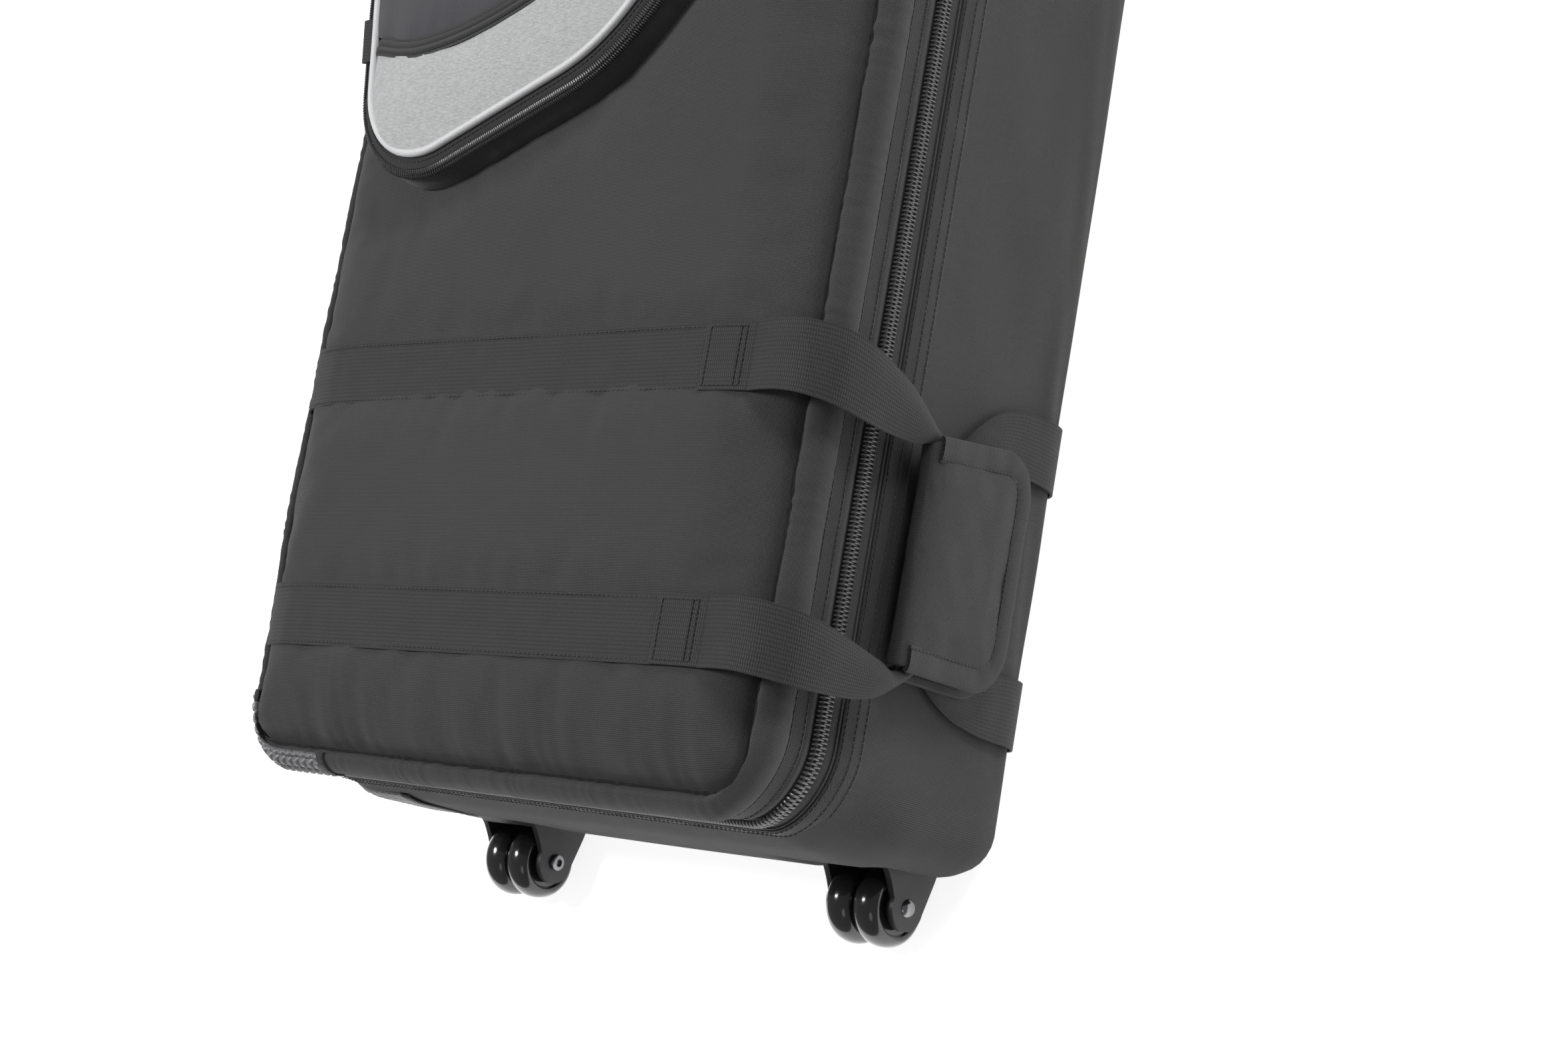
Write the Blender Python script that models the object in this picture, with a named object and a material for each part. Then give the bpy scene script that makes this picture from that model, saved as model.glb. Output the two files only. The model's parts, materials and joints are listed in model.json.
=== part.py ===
"""Padded two-part snowboard bag on two twin-wheel brackets.

Frame: the bag lies on its back. +Z is the lid side, -Y the zipper and handle side, +Y the
hinge side, and the wheels are at the -X (foot) end. Every piece is designed in bag
coordinates, whose origin is the foot face on the middle plane, and the whole bag hangs on
one empty that puts the middle of its bounding box over the world origin. Metres.
"""
import math

import bmesh
import bpy
from mathutils import Vector

# ---- driving dimensions -------------------------------------------------------------
LENGTH = 1.600            # foot face to head face
HALF_W = 0.217            # half width over the side walls
CORNER_R = 0.036          # plan radius of the four corners
ARC_STEPS = 6             # facets in each corner
GAP = 0.0003              # left between touching pieces
BAG_OFFSET = (-0.77668, 0.01030, 0.0)   # bag coordinates to world

WALL = 0.004              # padded side wall
BACK_Z = 0.0021           # underside of the back panel, above the sewn straps
CHAMFER = (0.012, 0.022)  # rounded back edge: inwards, upwards
BASE_TOP_Z = 0.1555       # top edge of the base wall
ZIP_Z = 0.1680            # middle of the main zipper and height of the lid hinge
TAPE_INSET = (0.0040, 0.0055)
COIL_INSET = (0.0012, 0.0037)
COIL_WIDTH = 0.0048
ZIP_TRIM = 2              # corner stations left free at both ends of the main zipper

CROWN = [(0.0095, 0.2115), (0.0120, 0.2165), (0.0200, 0.2215), (0.0320, 0.2262),
         (0.0450, 0.2290), (0.0650, 0.2305)]    # lid panel: inset from the side, height
LID_THICKNESS = 0.0045
LID_TOP_Z = CROWN[-1][1]

WEB_W = 0.038             # webbing width
WEB_T = 0.0018            # webbing thickness
STRAP_X = (0.061, 0.208)  # foot side edges of the two straps of one handle
FREE_Y = -0.180           # where a front strap leaves the lid and becomes the loop
LOOP_Y = -0.2328          # middle of the front loop where it hangs beside the wall
REAR_Y = -0.2200          # middle of the rear loop
GRIP_X = (0.082, 0.206)
GRIP_Z = (0.060, 0.140)

AXLE_X, AXLE_Z = -0.034, 0.024
BRACKET_Y = 0.146         # bracket centres, either side of the middle plane
BRACKET_HALF = 0.025
CHEEK_IN = 0.0213
WHEEL_R = 0.0235
WHEEL_HALF = (0.0005, 0.0200)
SCREW_Z = 0.087
SCREW_Y = 0.0120

SLIDERS_X = (0.800, 0.880)

POCKET = [(0.4700, 0.1735, 0.150), (0.3366, 0.1469, 0.055), (0.4047, -0.0367, 0.120),
          (0.5290, -0.1500, 0.055), (0.9500, -0.1500, 0.045),
          (0.9500, 0.1735, 0.045)]    # corners of the pocket face: x, y, radius
POCKET_HINGE = (0.6100, 0.1865, 0.2500)
POCKET_SLIDER_X = 0.660
INNER_ZIP = [(0.4360, 0.195), (0.4285, 0.157), (0.4235, 0.134), (0.4225, 0.110), (0.4280, 0.074),
             (0.4400, 0.034), (0.4600, -0.014), (0.4880, -0.062), (0.5230, -0.108), (0.5750, -0.180)]

# ---- scene, materials and the empties that carry the moving bodies ------------------
for leftover in list(bpy.data.objects):
    bpy.data.objects.remove(leftover, do_unlink=True)


def finish(name, colour, roughness, metallic=0.0):
    """Principled material of one colour, roughness and metallic value."""
    mat = bpy.data.materials.new(name)
    mat.use_nodes = True
    shader = mat.node_tree.nodes["Principled BSDF"]
    shader.inputs["Base Color"].default_value = (*colour, 1.0)
    shader.inputs["Roughness"].default_value = roughness
    shader.inputs["Metallic"].default_value = metallic
    return mat


def pivot(name, place, parent=None):
    """Empty on a joint's axis, at a place in bag coordinates."""
    empty = bpy.data.objects.new(name, None)
    bpy.context.collection.objects.link(empty)
    empty.empty_display_size = 0.05
    empty["place"] = place
    if parent is None:
        empty.location = place
    else:
        empty.parent = parent
        empty.location = Vector(place) - Vector(parent["place"])
    return empty


bag = pivot("bag_frame", (0.0, 0.0, 0.0))
bag.location = BAG_OFFSET
HINGE_Y = HALF_W - 0.0015
lid = pivot("lid_pivot", (LENGTH / 2, HINGE_Y, ZIP_Z), bag)


# ---- mesh helpers -------------------------------------------------------------------
def solid(name, verts, faces, carrier, mat, smooth=True):
    """One object from points in bag coordinates, stored relative to its carrier empty."""
    base = Vector(carrier["place"])
    mesh = bpy.data.meshes.new(name)
    mesh.from_pydata([Vector(v) - base for v in verts], [], faces)
    shape = bmesh.new()
    shape.from_mesh(mesh)
    bmesh.ops.recalc_face_normals(shape, faces=shape.faces)
    shape.to_mesh(mesh)
    shape.free()
    if smooth:
        mesh.shade_smooth()
        mesh.set_sharp_from_angle(angle=math.radians(35))
    obj = bpy.data.objects.new(name, mesh)
    bpy.context.collection.objects.link(obj)
    obj.parent = carrier
    if mat is not None:
        mesh.materials.append(mat)
    return obj


def stations(corners, steps=ARC_STEPS):
    """Points and outward normals round a polygon whose corners (x, y, radius) are rounded."""
    path = []
    count = len(corners)
    for i in range(count):
        here = Vector(corners[i][:2])
        before = (Vector(corners[i - 1][:2]) - here).normalized()
        after = (Vector(corners[(i + 1) % count][:2]) - here).normalized()
        half = before.angle(after) / 2
        radius = corners[i][2]
        centre = here + (before + after).normalized() * (radius / math.sin(half))
        first = here + before * (radius / math.tan(half)) - centre
        last = here + after * (radius / math.tan(half)) - centre
        start = math.atan2(first.y, first.x)
        turn = (math.atan2(last.y, last.x) - start + math.pi) % math.tau - math.pi
        for k in range(steps + 1):
            angle = start + turn * k / steps
            normal = (math.cos(angle), math.sin(angle))
            path.append((centre.x + radius * normal[0], centre.y + radius * normal[1], *normal))
    return path


def bag_corners(inset=0.0):
    """The bag's plan, from the hinge side's foot corner round the zipper side."""
    radius = max(CORNER_R - inset, 0.004)
    low, high, half = inset, LENGTH - inset, HALF_W - inset
    return [(low, half, radius), (low, -half, radius), (high, -half, radius), (high, half, radius)]


OUTLINE = stations(bag_corners())
ZIP_PATH = OUTLINE[ZIP_TRIM:-ZIP_TRIM]


def sweep(name, path, profile, carrier, mat, closed):
    """Carry a closed profile of (inset, z) points along a path of stations."""
    verts = [(x - nx * d, y - ny * d, z) for x, y, nx, ny in path for d, z in profile]
    size, count = len(profile), len(path)
    faces = []
    for i in range(count if closed else count - 1):
        a, b = i * size, (i + 1) % count * size
        for j in range(size):
            k = (j + 1) % size
            faces.append((a + j, a + k, b + k, b + j))
    if not closed:
        faces.append(tuple(range(size)))
        faces.append(tuple(range((count - 1) * size, count * size)))
    return solid(name, verts, faces, carrier, mat)


def layers(name, loops, carrier, mat):
    """Closed solid through loops of equal length, capped at both ends."""
    size = len(loops[0])
    verts = [point for loop in loops for point in loop]
    faces = [tuple(range(size)), tuple(range(len(verts) - size, len(verts)))]
    for i in range(len(loops) - 1):
        a, b = i * size, (i + 1) * size
        faces += [(a + j, a + (j + 1) % size, b + (j + 1) % size, b + j) for j in range(size)]
    return solid(name, verts, faces, carrier, mat)


def slab(name, outline, axis, low, high, carrier, mat):
    """Prism on an outline of two coordinates, from low to high along the named axis."""
    place = {"x": lambda p, h: (h, p[0], p[1]), "y": lambda p, h: (p[0], h, p[1]),
             "z": lambda p, h: (p[0], p[1], h)}[axis]
    return layers(name, [[place(p, h) for p in outline] for h in (low, high)], carrier, mat)


def box_outline(a0, a1, b0, b1):
    """Rectangle for a prism."""
    return [(a0, b0), (a1, b0), (a1, b1), (a0, b1)]


def arc(centre, radius, start, end, steps):
    """Points on an arc, with its angles in degrees."""
    angles = [math.radians(start + (end - start) * k / steps) for k in range(steps + 1)]
    return [(centre[0] + radius * math.cos(a), centre[1] + radius * math.sin(a)) for a in angles]


def turned(name, profile, centre, carrier, mat, segments=28):
    """Turn a profile of (radius, y) about the line along Y through centre (x, z).

    A profile that starts and ends at radius 0 has a pole at both ends; any other closes
    on itself and leaves a bore.
    """
    poles = profile[0][0] == 0
    rims = profile[1:-1] if poles else profile
    verts = []
    for k in range(segments):
        angle = math.tau * k / segments
        verts += [(centre[0] + r * math.cos(angle), y, centre[1] + r * math.sin(angle)) for r, y in rims]
    size, pole, faces = len(rims), len(verts), []
    for k in range(segments):
        a, b = k * size, (k + 1) % segments * size
        last = size - 1 if poles else size
        faces += [(a + j, a + (j + 1) % size, b + (j + 1) % size, b + j) for j in range(last)]
        if poles:
            faces += [(a, b, pole), (a + last, b + last, pole + 1)]
    if poles:
        verts += [(centre[0], profile[0][1], centre[1]), (centre[0], profile[-1][1], centre[1])]
    return solid(name, verts, faces, carrier, mat)


def sheet(name, points, faces, thickness, carrier, mat):
    """Webbing: an open sheet thickened to both sides."""
    obj = solid(name, points, faces, carrier, mat)
    thicken = obj.modifiers.new("thickness", "SOLIDIFY")
    thicken.thickness = thickness
    thicken.offset = 0.0
    thicken.use_even_offset = True
    return obj


def band(name, low_x, high_x, route, thickness, carrier, mat):
    """Webbing of constant width along X that follows a route of (y, z) points."""
    points = [(x, y, z) for y, z in route for x in (low_x, high_x)]
    faces = [(2 * i, 2 * i + 1, 2 * i + 3, 2 * i + 2) for i in range(len(route) - 1)]
    return sheet(name, points, faces, thickness, carrier, mat)


def boolean(obj, tool, operation):
    """Cut, join or keep the common part with a tool that stays hidden."""
    step = obj.modifiers.new(operation.lower(), "BOOLEAN")
    step.operation = operation
    step.solver = "EXACT"
    step.object = tool
    tool.hide_render = True
    tool.display_type = "WIRE"


def crown_z(inset):
    """Height of the lid panel at an inset from the side."""
    for (a, za), (b, zb) in zip(CROWN, CROWN[1:]):
        if inset <= b:
            return za + (zb - za) * (inset - a) / (b - a)
    return LID_TOP_Z


# ---- materials ----------------------------------------------------------------------
shell_cloth = finish("shell_cloth", (0.045, 0.045, 0.047), 0.85)
tape_cloth = finish("tape_cloth", (0.025, 0.025, 0.027), 0.80)
webbing = finish("webbing", (0.030, 0.031, 0.035), 0.70)
coil_nylon = finish("coil_nylon", (0.020, 0.020, 0.022), 0.30)
guard_rubber = finish("guard_rubber", (0.075, 0.075, 0.078), 0.60)
heather = finish("heather", (0.300, 0.310, 0.305), 0.90)
fleece = finish("fleece", (0.040, 0.040, 0.048), 0.95)
reflective = finish("reflective", (0.450, 0.450, 0.460), 0.35)
black_plastic = finish("black_plastic", (0.018, 0.018, 0.020), 0.45)
wheel_plastic = finish("wheel_plastic", (0.012, 0.012, 0.013), 0.15)
board = finish("board", (0.100, 0.100, 0.105), 0.60)
steel = finish("steel", (0.550, 0.550, 0.560), 0.25, 1.0)
dark_metal = finish("dark_metal", (0.060, 0.060, 0.065), 0.35, 1.0)


# ---- base: back panel, walls, stiffening, zipper half -------------------------------
def build_base():
    """The padded tub that the wheels, the back straps and the lid hinge belong to."""
    in_x, up_z = CHAMFER
    sweep("base_wall", OUTLINE,
          [(0.0, up_z), (0.0, BASE_TOP_Z), (WALL, BASE_TOP_Z), (WALL, up_z + 0.0015),
           (in_x + 0.0012, BACK_Z + 0.0040), (in_x, BACK_Z)], bag, shell_cloth, True)
    inner = in_x + 0.0012 + GAP
    layers("back_panel", [[(x, y, z) for x, y, *_ in stations(bag_corners(inner))]
                          for z in (BACK_Z, BACK_Z + 0.0050)], bag, shell_cloth)
    layers("stiffener_board", [[(x, y, z) for x, y, *_ in stations(bag_corners(0.024), 4)]
                               for z in (BACK_Z + 0.0053, BACK_Z + 0.0083)], bag, board)
    plate = slab("foot_end_plate", box_outline(-0.175, 0.175, 0.0280, 0.1450), "x",
                 WALL + GAP, WALL + GAP + 0.0030, bag, board)
    low, high = TAPE_INSET
    sweep("base_zip_tape", ZIP_PATH, [(low, 0.1558), (low, ZIP_Z - GAP), (high, ZIP_Z - GAP),
                                      (high, 0.1558)], bag, tape_cloth, False)
    low, high = COIL_INSET
    top = ZIP_Z - 0.0002
    sweep("base_zip_coil", ZIP_PATH, [(low, top - COIL_WIDTH + 0.001), (low, top - 0.001), (low + 0.001, top),
                                      (high, top), (high, top - COIL_WIDTH), (low + 0.001, top - COIL_WIDTH)],
          bag, coil_nylon, False)
    sweep("base_band", OUTLINE, [(-0.0014, 0.1370), (-0.0014, 0.1562), (0.0024, 0.1612), (0.0037, 0.1612),
                                 (-GAP, 0.1558), (-GAP, 0.1370)], bag, tape_cloth, True)
    side = [(LENGTH - CORNER_R, HALF_W, 0, 1), (CORNER_R, HALF_W, 0, 1)]
    sweep("hinge_strip", side, [(0.0040, 0.1558), (0.0040, 0.1795), (0.0052, 0.1795), (0.0052, 0.1558)],
          bag, shell_cloth, False)
    corner = [(CORNER_R + 0.017, HALF_W, 0, 1), *OUTLINE[:ARC_STEPS + 1]]
    sweep("base_scuff_guard", corner, [(-GAP, 0.0260), (-0.0016, 0.0270), (-0.0016, 0.1350), (-GAP, 0.1365)],
          bag, guard_rubber, False)
    return plate


# ---- wheels: bracket, axle, cap, screws and two wheels on each side -----------------
def bracket_outline():
    """Side view (x, z): mounting flange with a swept tongue and a round-ended cheek."""
    tongue = [(-GAP, 0.0070), (-GAP, 0.1000), (-0.0034, 0.0985), (-0.0034, 0.0815),
              (-0.0062, 0.0720), (-0.0115, 0.0610), (-0.0185, 0.0510), (-0.0260, 0.0425)]
    nose = arc((AXLE_X, AXLE_Z), 0.0125, 62, 262, 8)
    return tongue + nose + [(-0.0120, 0.0070)]


def build_wheel_set(side, hand, plate, wall):
    """One bracket with its wheels; hand is -1 on the zipper side and +1 on the hinge side."""
    mid = hand * BRACKET_Y
    axle = (AXLE_X, AXLE_Z)
    bracket = slab(f"wheel_bracket_{side}", bracket_outline(), "y", mid - BRACKET_HALF, mid + BRACKET_HALF,
                   bag, black_plastic)
    boolean(bracket, turned(f"cut_well_{side}", [(0, mid - CHEEK_IN), (0.0265, mid - CHEEK_IN),
                                                 (0.0265, mid + CHEEK_IN), (0, mid + CHEEK_IN)],
                            axle, bag, None, 36), "DIFFERENCE")
    boolean(bracket, turned(f"cut_bore_{side}", [(0, mid - 0.03), (0.0034, mid - 0.03),
                                                 (0.0034, mid + 0.03), (0, mid + 0.03)],
                            axle, bag, None, 16), "DIFFERENCE")
    out = hand * (BRACKET_HALF + GAP)
    turned(f"axle_bolt_{side}", [(0, mid + out + hand * 0.0026), (0.0026, mid + out + hand * 0.0023),
                                 (0.0046, mid + out + hand * 0.0012), (0.0052, mid + out),
                                 (0.0030, mid + out), (0.0030, mid - out), (0, mid - out)],
           axle, bag, steel, 20)
    cap = turned(f"axle_cap_{side}", [(0, mid - out - hand * GAP), (0.0052, mid - out - hand * GAP),
                                      (0.0050, mid - out - hand * 0.0022), (0.0044, mid - out - hand * 0.0028),
                                      (0, mid - out - hand * 0.0028)], axle, bag, steel, 20)
    socket = turned(f"cut_socket_{side}", [(0, mid - out - hand * 0.0012), (0.0026, mid - out - hand * 0.0012),
                                           (0.0026, mid - out - hand * 0.0040), (0, mid - out - hand * 0.0040)],
                    axle, bag, None, 6)
    boolean(cap, socket, "DIFFERENCE")
    for label, sign in (("outer", hand), ("inner", -hand)):
        place = (AXLE_X, mid + sign * sum(WHEEL_HALF) / 2, AXLE_Z)
        carrier = pivot(f"wheel_{side}_{label}_pivot", place, bag)
        near, far = (mid + sign * half for half in WHEEL_HALF)
        step = (far - near) / 10
        tread = [(0.0036, near), (0.0090, near), (0.0170, near), (0.0205, near + step),
                 (0.0228, near + 3 * step), (WHEEL_R, near + 5 * step), (0.0228, far - 3 * step),
                 (0.0205, far - step), (0.0175, far), (0.0160, far - 1.2 * step), (0.0095, far - 1.2 * step),
                 (0.0080, far), (0.0036, far)]
        turned(f"wheel_{side}_{label}", tread, axle, carrier, wheel_plastic, 26)
    for number, sign in enumerate((-1, 1), 1):
        spot = mid + sign * SCREW_Y
        build_screw(f"bracket_screw_{side}_{number}", spot, (bracket, plate, wall))


def build_screw(name, spot, clamped):
    """Pan-head screw along X through the tongue, the foot wall and the inner plate."""
    head = -0.0035 - GAP
    rings = [(head - 0.0022, 0.0025), (head - 0.0012, 0.0042), (head, 0.0044), (head, 0.0018),
             (WALL + 0.0045, 0.0018)]
    loops = [[(x, spot + a, SCREW_Z + b) for a, b in arc((0, 0), r, 0, 330, 11)] for x, r in rings]
    layers(name, loops, bag, dark_metal)
    hole = [[(x, spot + a, SCREW_Z + b) for a, b in arc((0, 0), 0.0022, 0, 330, 11)]
            for x in (-0.02, 0.02)]
    cutter = layers(f"cut_{name}", hole, bag, None)
    for piece in clamped:
        boolean(piece, cutter, "DIFFERENCE")


# ---- lid: crowned panel, rolled wall, zipper half -----------------------------------
def build_lid():
    """The padded front of the bag, which swings on the hinge strip."""
    top = [[(x, y, z) for x, y, *_ in stations(bag_corners(inset))] for inset, z in CROWN]
    under = [[(x, y, z - LID_THICKNESS) for x, y, *_ in stations(bag_corners(inset + 0.0032))]
             for inset, z in reversed(CROWN)]
    layers("lid_panel", top[::-1] + under[::-1], lid, shell_cloth)
    sweep("lid_wall", OUTLINE, [(0.0035, 0.1808), (0.0015, 0.1850), (-0.0010, 0.1925), (-0.0010, 0.2000),
                                (0.0020, 0.2065), (0.0074, 0.2112), (0.0088, 0.2080), (0.0058, 0.2035),
                                (0.0036, 0.1985), (0.0036, 0.1935), (0.0058, 0.1870), (0.0075, 0.1808)],
          lid, shell_cloth, True)
    low, high = TAPE_INSET
    sweep("lid_zip_tape", ZIP_PATH, [(low, ZIP_Z + GAP), (low, 0.1804), (high, 0.1804), (high, ZIP_Z + GAP)],
          lid, tape_cloth, False)
    low, high = COIL_INSET
    base = ZIP_Z + 0.0002
    sweep("lid_zip_coil", ZIP_PATH, [(low, base + COIL_WIDTH - 0.001), (low + 0.001, base + COIL_WIDTH),
                                     (high, base + COIL_WIDTH), (high, base), (low + 0.001, base),
                                     (low, base + 0.001)], lid, coil_nylon, False)
    sweep("lid_binding", OUTLINE, [(0.0022, 0.1756), (0.0022, 0.1805), (0.0037, 0.1805), (0.0037, 0.1756)],
          lid, tape_cloth, True)
    corner = [(CORNER_R + 0.017, HALF_W, 0, 1), *OUTLINE[:ARC_STEPS + 1],
              (0.0, HALF_W - CORNER_R - 0.026, -1, 0)]
    sweep("lid_scuff_guard", corner, [(0.0012 - GAP, 0.1850), (-0.0010 - GAP, 0.1922), (-0.0010 - GAP, 0.2002),
                                      (0.0016 - GAP, 0.2063), (0.0002 - GAP, 0.2067), (-0.0024, 0.2006),
                                      (-0.0024, 0.1918), (-0.0002, 0.1846)], lid, guard_rubber, False)
    lift = WEB_T / 2 + 0.0005
    edge = [inset for inset, _ in CROWN]
    for number, low_x in enumerate(strap_places(), 1):
        route = [(FREE_Y + 0.0012, crown_z(HALF_W + FREE_Y + 0.0012) + lift),
                 (edge[4] - HALF_W, CROWN[4][1] + lift), (edge[5] - HALF_W, LID_TOP_Z + lift)]
        route += [(HALF_W - edge[k], CROWN[k][1] + lift) for k in (5, 4, 3, 2)]
        band(f"front_strap_{number}", low_x, low_x + WEB_W, route, WEB_T, lid, webbing)


def strap_places():
    """Foot-side edge of every strap: two for the foot handle, two mirrored for the head one."""
    return [*STRAP_X, *(LENGTH - WEB_W - x for x in reversed(STRAP_X))]


# ---- handles ------------------------------------------------------------------------
def loop_sheet(near, far, rows, strand):
    """Two legs of webbing along rows of (spread, y, z), joined by a strand between them.

    spread moves a leg's inner edge away from the grip, so that the webbing narrows
    where it turns into the strand.
    """
    points, faces = [], []
    for outer, inner in (near, far):
        sign = 1 if inner > outer else -1
        first = len(points)
        for spread, y, z in rows:
            points += [(outer, y, z), (inner - sign * spread, y, z)]
        faces += [(first + 2 * i, first + 2 * i + 1, first + 2 * i + 3, first + 2 * i + 2)
                  for i in range(len(rows) - 1)]
    size, top = len(rows) * 2, strand
    low_end = size - 1
    faces.append((low_end - 2 * top, low_end, low_end + size, low_end + size - 2 * top))
    return points, faces


def build_handles():
    """Front loop and padded grip on the lid, rear loop on the base, at both ends of the bag."""
    for where, mirrored in (("foot", False), ("head", True)):
        flip = (lambda x: LENGTH - x) if mirrored else (lambda x: x)
        legs = [(flip(STRAP_X[0]), flip(STRAP_X[0] + WEB_W)), (flip(STRAP_X[1] + WEB_W), flip(STRAP_X[1]))]
        mid_x = flip(sum(GRIP_X) / 2)
        start_z = crown_z(HALF_W + FREE_Y) + WEB_T / 2 + 0.0005
        front = pivot(f"{where}_handle_pivot", (mid_x, FREE_Y, start_z), lid)
        neck = WEB_W - (GRIP_X[0] - GAP * 10 - STRAP_X[0])
        rows = [(0.0, FREE_Y, start_z), (0.0, -0.1920, 0.2312), (0.0, -0.2050, 0.2320), (0.0, -0.2180, 0.2280),
                (0.0, -0.2290, 0.2160), (0.0, LOOP_Y, 0.2000), (0.0, LOOP_Y, 0.1560), (neck, LOOP_Y, 0.1430),
                (neck, LOOP_Y, 0.1180), (neck, LOOP_Y, 0.0820)]
        points, faces = loop_sheet(*legs, rows, 1)
        sheet(f"{where}_front_loop", points, faces, WEB_T, front, webbing)
        low_x, high_x = sorted((flip(GRIP_X[0]), flip(GRIP_X[1])))
        outer = [(-0.2262, GRIP_Z[0] + 0.004), (-0.2262, GRIP_Z[1] - 0.004), (-0.2300, GRIP_Z[1]),
                 (-0.2365, GRIP_Z[1]), (-0.2400, GRIP_Z[1] - 0.004), (-0.2400, GRIP_Z[0] + 0.004),
                 (-0.2365, GRIP_Z[0]), (-0.2300, GRIP_Z[0])]
        grip = slab(f"{where}_grip", outer, "x", low_x, high_x, front, shell_cloth)
        slot = box_outline(LOOP_Y - WEB_T / 2 - GAP, LOOP_Y + WEB_T / 2 + GAP, 0.0820 - GAP, 0.1180 + GAP)
        boolean(grip, slab(f"cut_{where}_grip", slot, "x", low_x - 0.01, high_x + 0.01, front, None),
                "DIFFERENCE")
        rear = pivot(f"{where}_rear_loop_pivot", (mid_x, -0.2078, 0.0040), bag)
        rear_rows = [(0.0, -0.2078, 0.0036), (0.0, -0.2165, 0.0140), (0.0, REAR_Y, 0.0240), (0.0, REAR_Y, 0.0500),
                     (neck, REAR_Y, 0.0640), (neck, REAR_Y, 0.0780), (neck, REAR_Y, 0.1140)]
        points, faces = loop_sheet(*legs, rear_rows, 1)
        sheet(f"{where}_rear_loop", points, faces, WEB_T, rear, webbing)
    for number, low_x in enumerate(strap_places(), 1):
        slab(f"back_strap_{number}", box_outline(low_x, low_x + WEB_W, -0.2040, 0.2040), "z", 0.0, WEB_T,
             bag, webbing)
    build_haul_loop()


def build_haul_loop():
    """Webbing loop with a grip tube on the head face, for pulling the bag on its wheels."""
    haul = pivot("haul_pivot", (LENGTH + 0.0060, 0.0, 0.1280), bag)
    x, half, web = LENGTH + 0.0060, 0.075, 0.025
    points = [(x, -half, 0.1280), (x, -half + web, 0.1280), (x, half - web, 0.1280), (x, half, 0.1280),
              (x, -half, 0.0600), (x, -half + web, 0.0600), (x, half - web, 0.0600), (x, half, 0.0600),
              (x, -half + 0.006, 0.0430), (x, -half + web, 0.0430), (x, half - web, 0.0430),
              (x, half - 0.006, 0.0430)]
    faces = [(0, 1, 5, 4), (2, 3, 7, 6), (4, 5, 9, 8), (6, 7, 11, 10), (5, 6, 10, 9)]
    sheet("haul_loop", points, faces, WEB_T, haul, webbing)
    tube = arc((x, 0.0515), 0.0135, 0, 330, 11)
    tube = [(LENGTH + 0.0060 + (px - x) * 0.36, pz) for px, pz in tube]
    grip = slab("haul_grip", tube, "y", -half + web + 0.002, half - web - 0.002, haul, black_plastic)
    slot = box_outline(x - WEB_T / 2 - GAP, x + WEB_T / 2 + GAP, 0.0427, 0.0603)
    boolean(grip, slab("cut_haul_grip", slot, "y", -half, half, haul, None), "DIFFERENCE")


# ---- sliders and pull tabs ----------------------------------------------------------
def build_slider(name, pull_name, place, along, across, out, carrier, size):
    """Slider plate with an arched bail, and a pull tab hung under the bail.

    place is the bottom middle of the plate; along, across and out are unit vectors:
    along the zipper towards the pull, across it, and away from the bag.
    """
    place, along, across, out = (Vector(v) for v in (place, along, across, out))
    half_l, half_w, thick = size

    def prism(label, outline, direction, depth, start, body, mat):
        first, second = [(along, out), (along, across)][direction is out]
        loops = [[place + first * a + second * b + direction * (start + h) for a, b in outline]
                 for h in (0.0, depth)]
        return layers(label, loops, body, mat)

    slide = pivot(f"{name}_pivot", tuple(place), carrier)
    plan = [(-half_l, -half_w * 0.75), (-half_l * 0.6, -half_w), (half_l * 0.5, -half_w), (half_l, -half_w * 0.45),
            (half_l, half_w * 0.45), (half_l * 0.5, half_w), (-half_l * 0.6, half_w), (-half_l, half_w * 0.75)]
    body = prism(name, plan, out, thick, 0.0, slide, dark_metal)
    rise, bar = 0.0034, 0.0018
    bail = [(-0.0085, thick - 0.0010), (-0.0085, thick + rise), (-0.0065, thick + rise + bar),
            (0.0065, thick + rise + bar), (0.0085, thick + rise), (0.0085, thick - 0.0010),
            (0.0065, thick - 0.0010), (0.0065, thick + rise), (-0.0065, thick + rise), (-0.0065, thick - 0.0010)]
    boolean(body, prism(f"tool_{name}", bail, across, 0.0044, -0.0022, slide, None), "UNION")
    axis = place + out * (thick + rise / 2)
    swing = pivot(f"{pull_name}_pivot", tuple(axis), slide)
    tab = [(0.0011 * -1, -0.0047), (0.0120, -0.0047), (0.0330, -0.0040), (0.0360, -0.0020), (0.0360, 0.0020),
           (0.0330, 0.0040), (0.0120, 0.0047), (-0.0011, 0.0047)]
    lift = thick + rise / 2 - 0.0008
    pull = prism(pull_name, tab, out, 0.0016, lift, swing, dark_metal)
    window = box_outline(0.0011, 0.0112, -0.0030, 0.0030)
    boolean(pull, prism(f"cut_{pull_name}", window, out, 0.0080, lift - 0.0030, swing, None), "DIFFERENCE")


# ---- pocket on the lid --------------------------------------------------------------
def offset_curve(points, distance):
    """Open curve moved sideways, to the left of its direction."""
    moved = []
    for i, point in enumerate(points):
        before, after = points[max(i - 1, 0)], points[min(i + 1, len(points) - 1)]
        run = Vector((after[0] - before[0], after[1] - before[1])).normalized()
        moved.append((point[0] - run.y * distance, point[1] + run.x * distance))
    return moved


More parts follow.
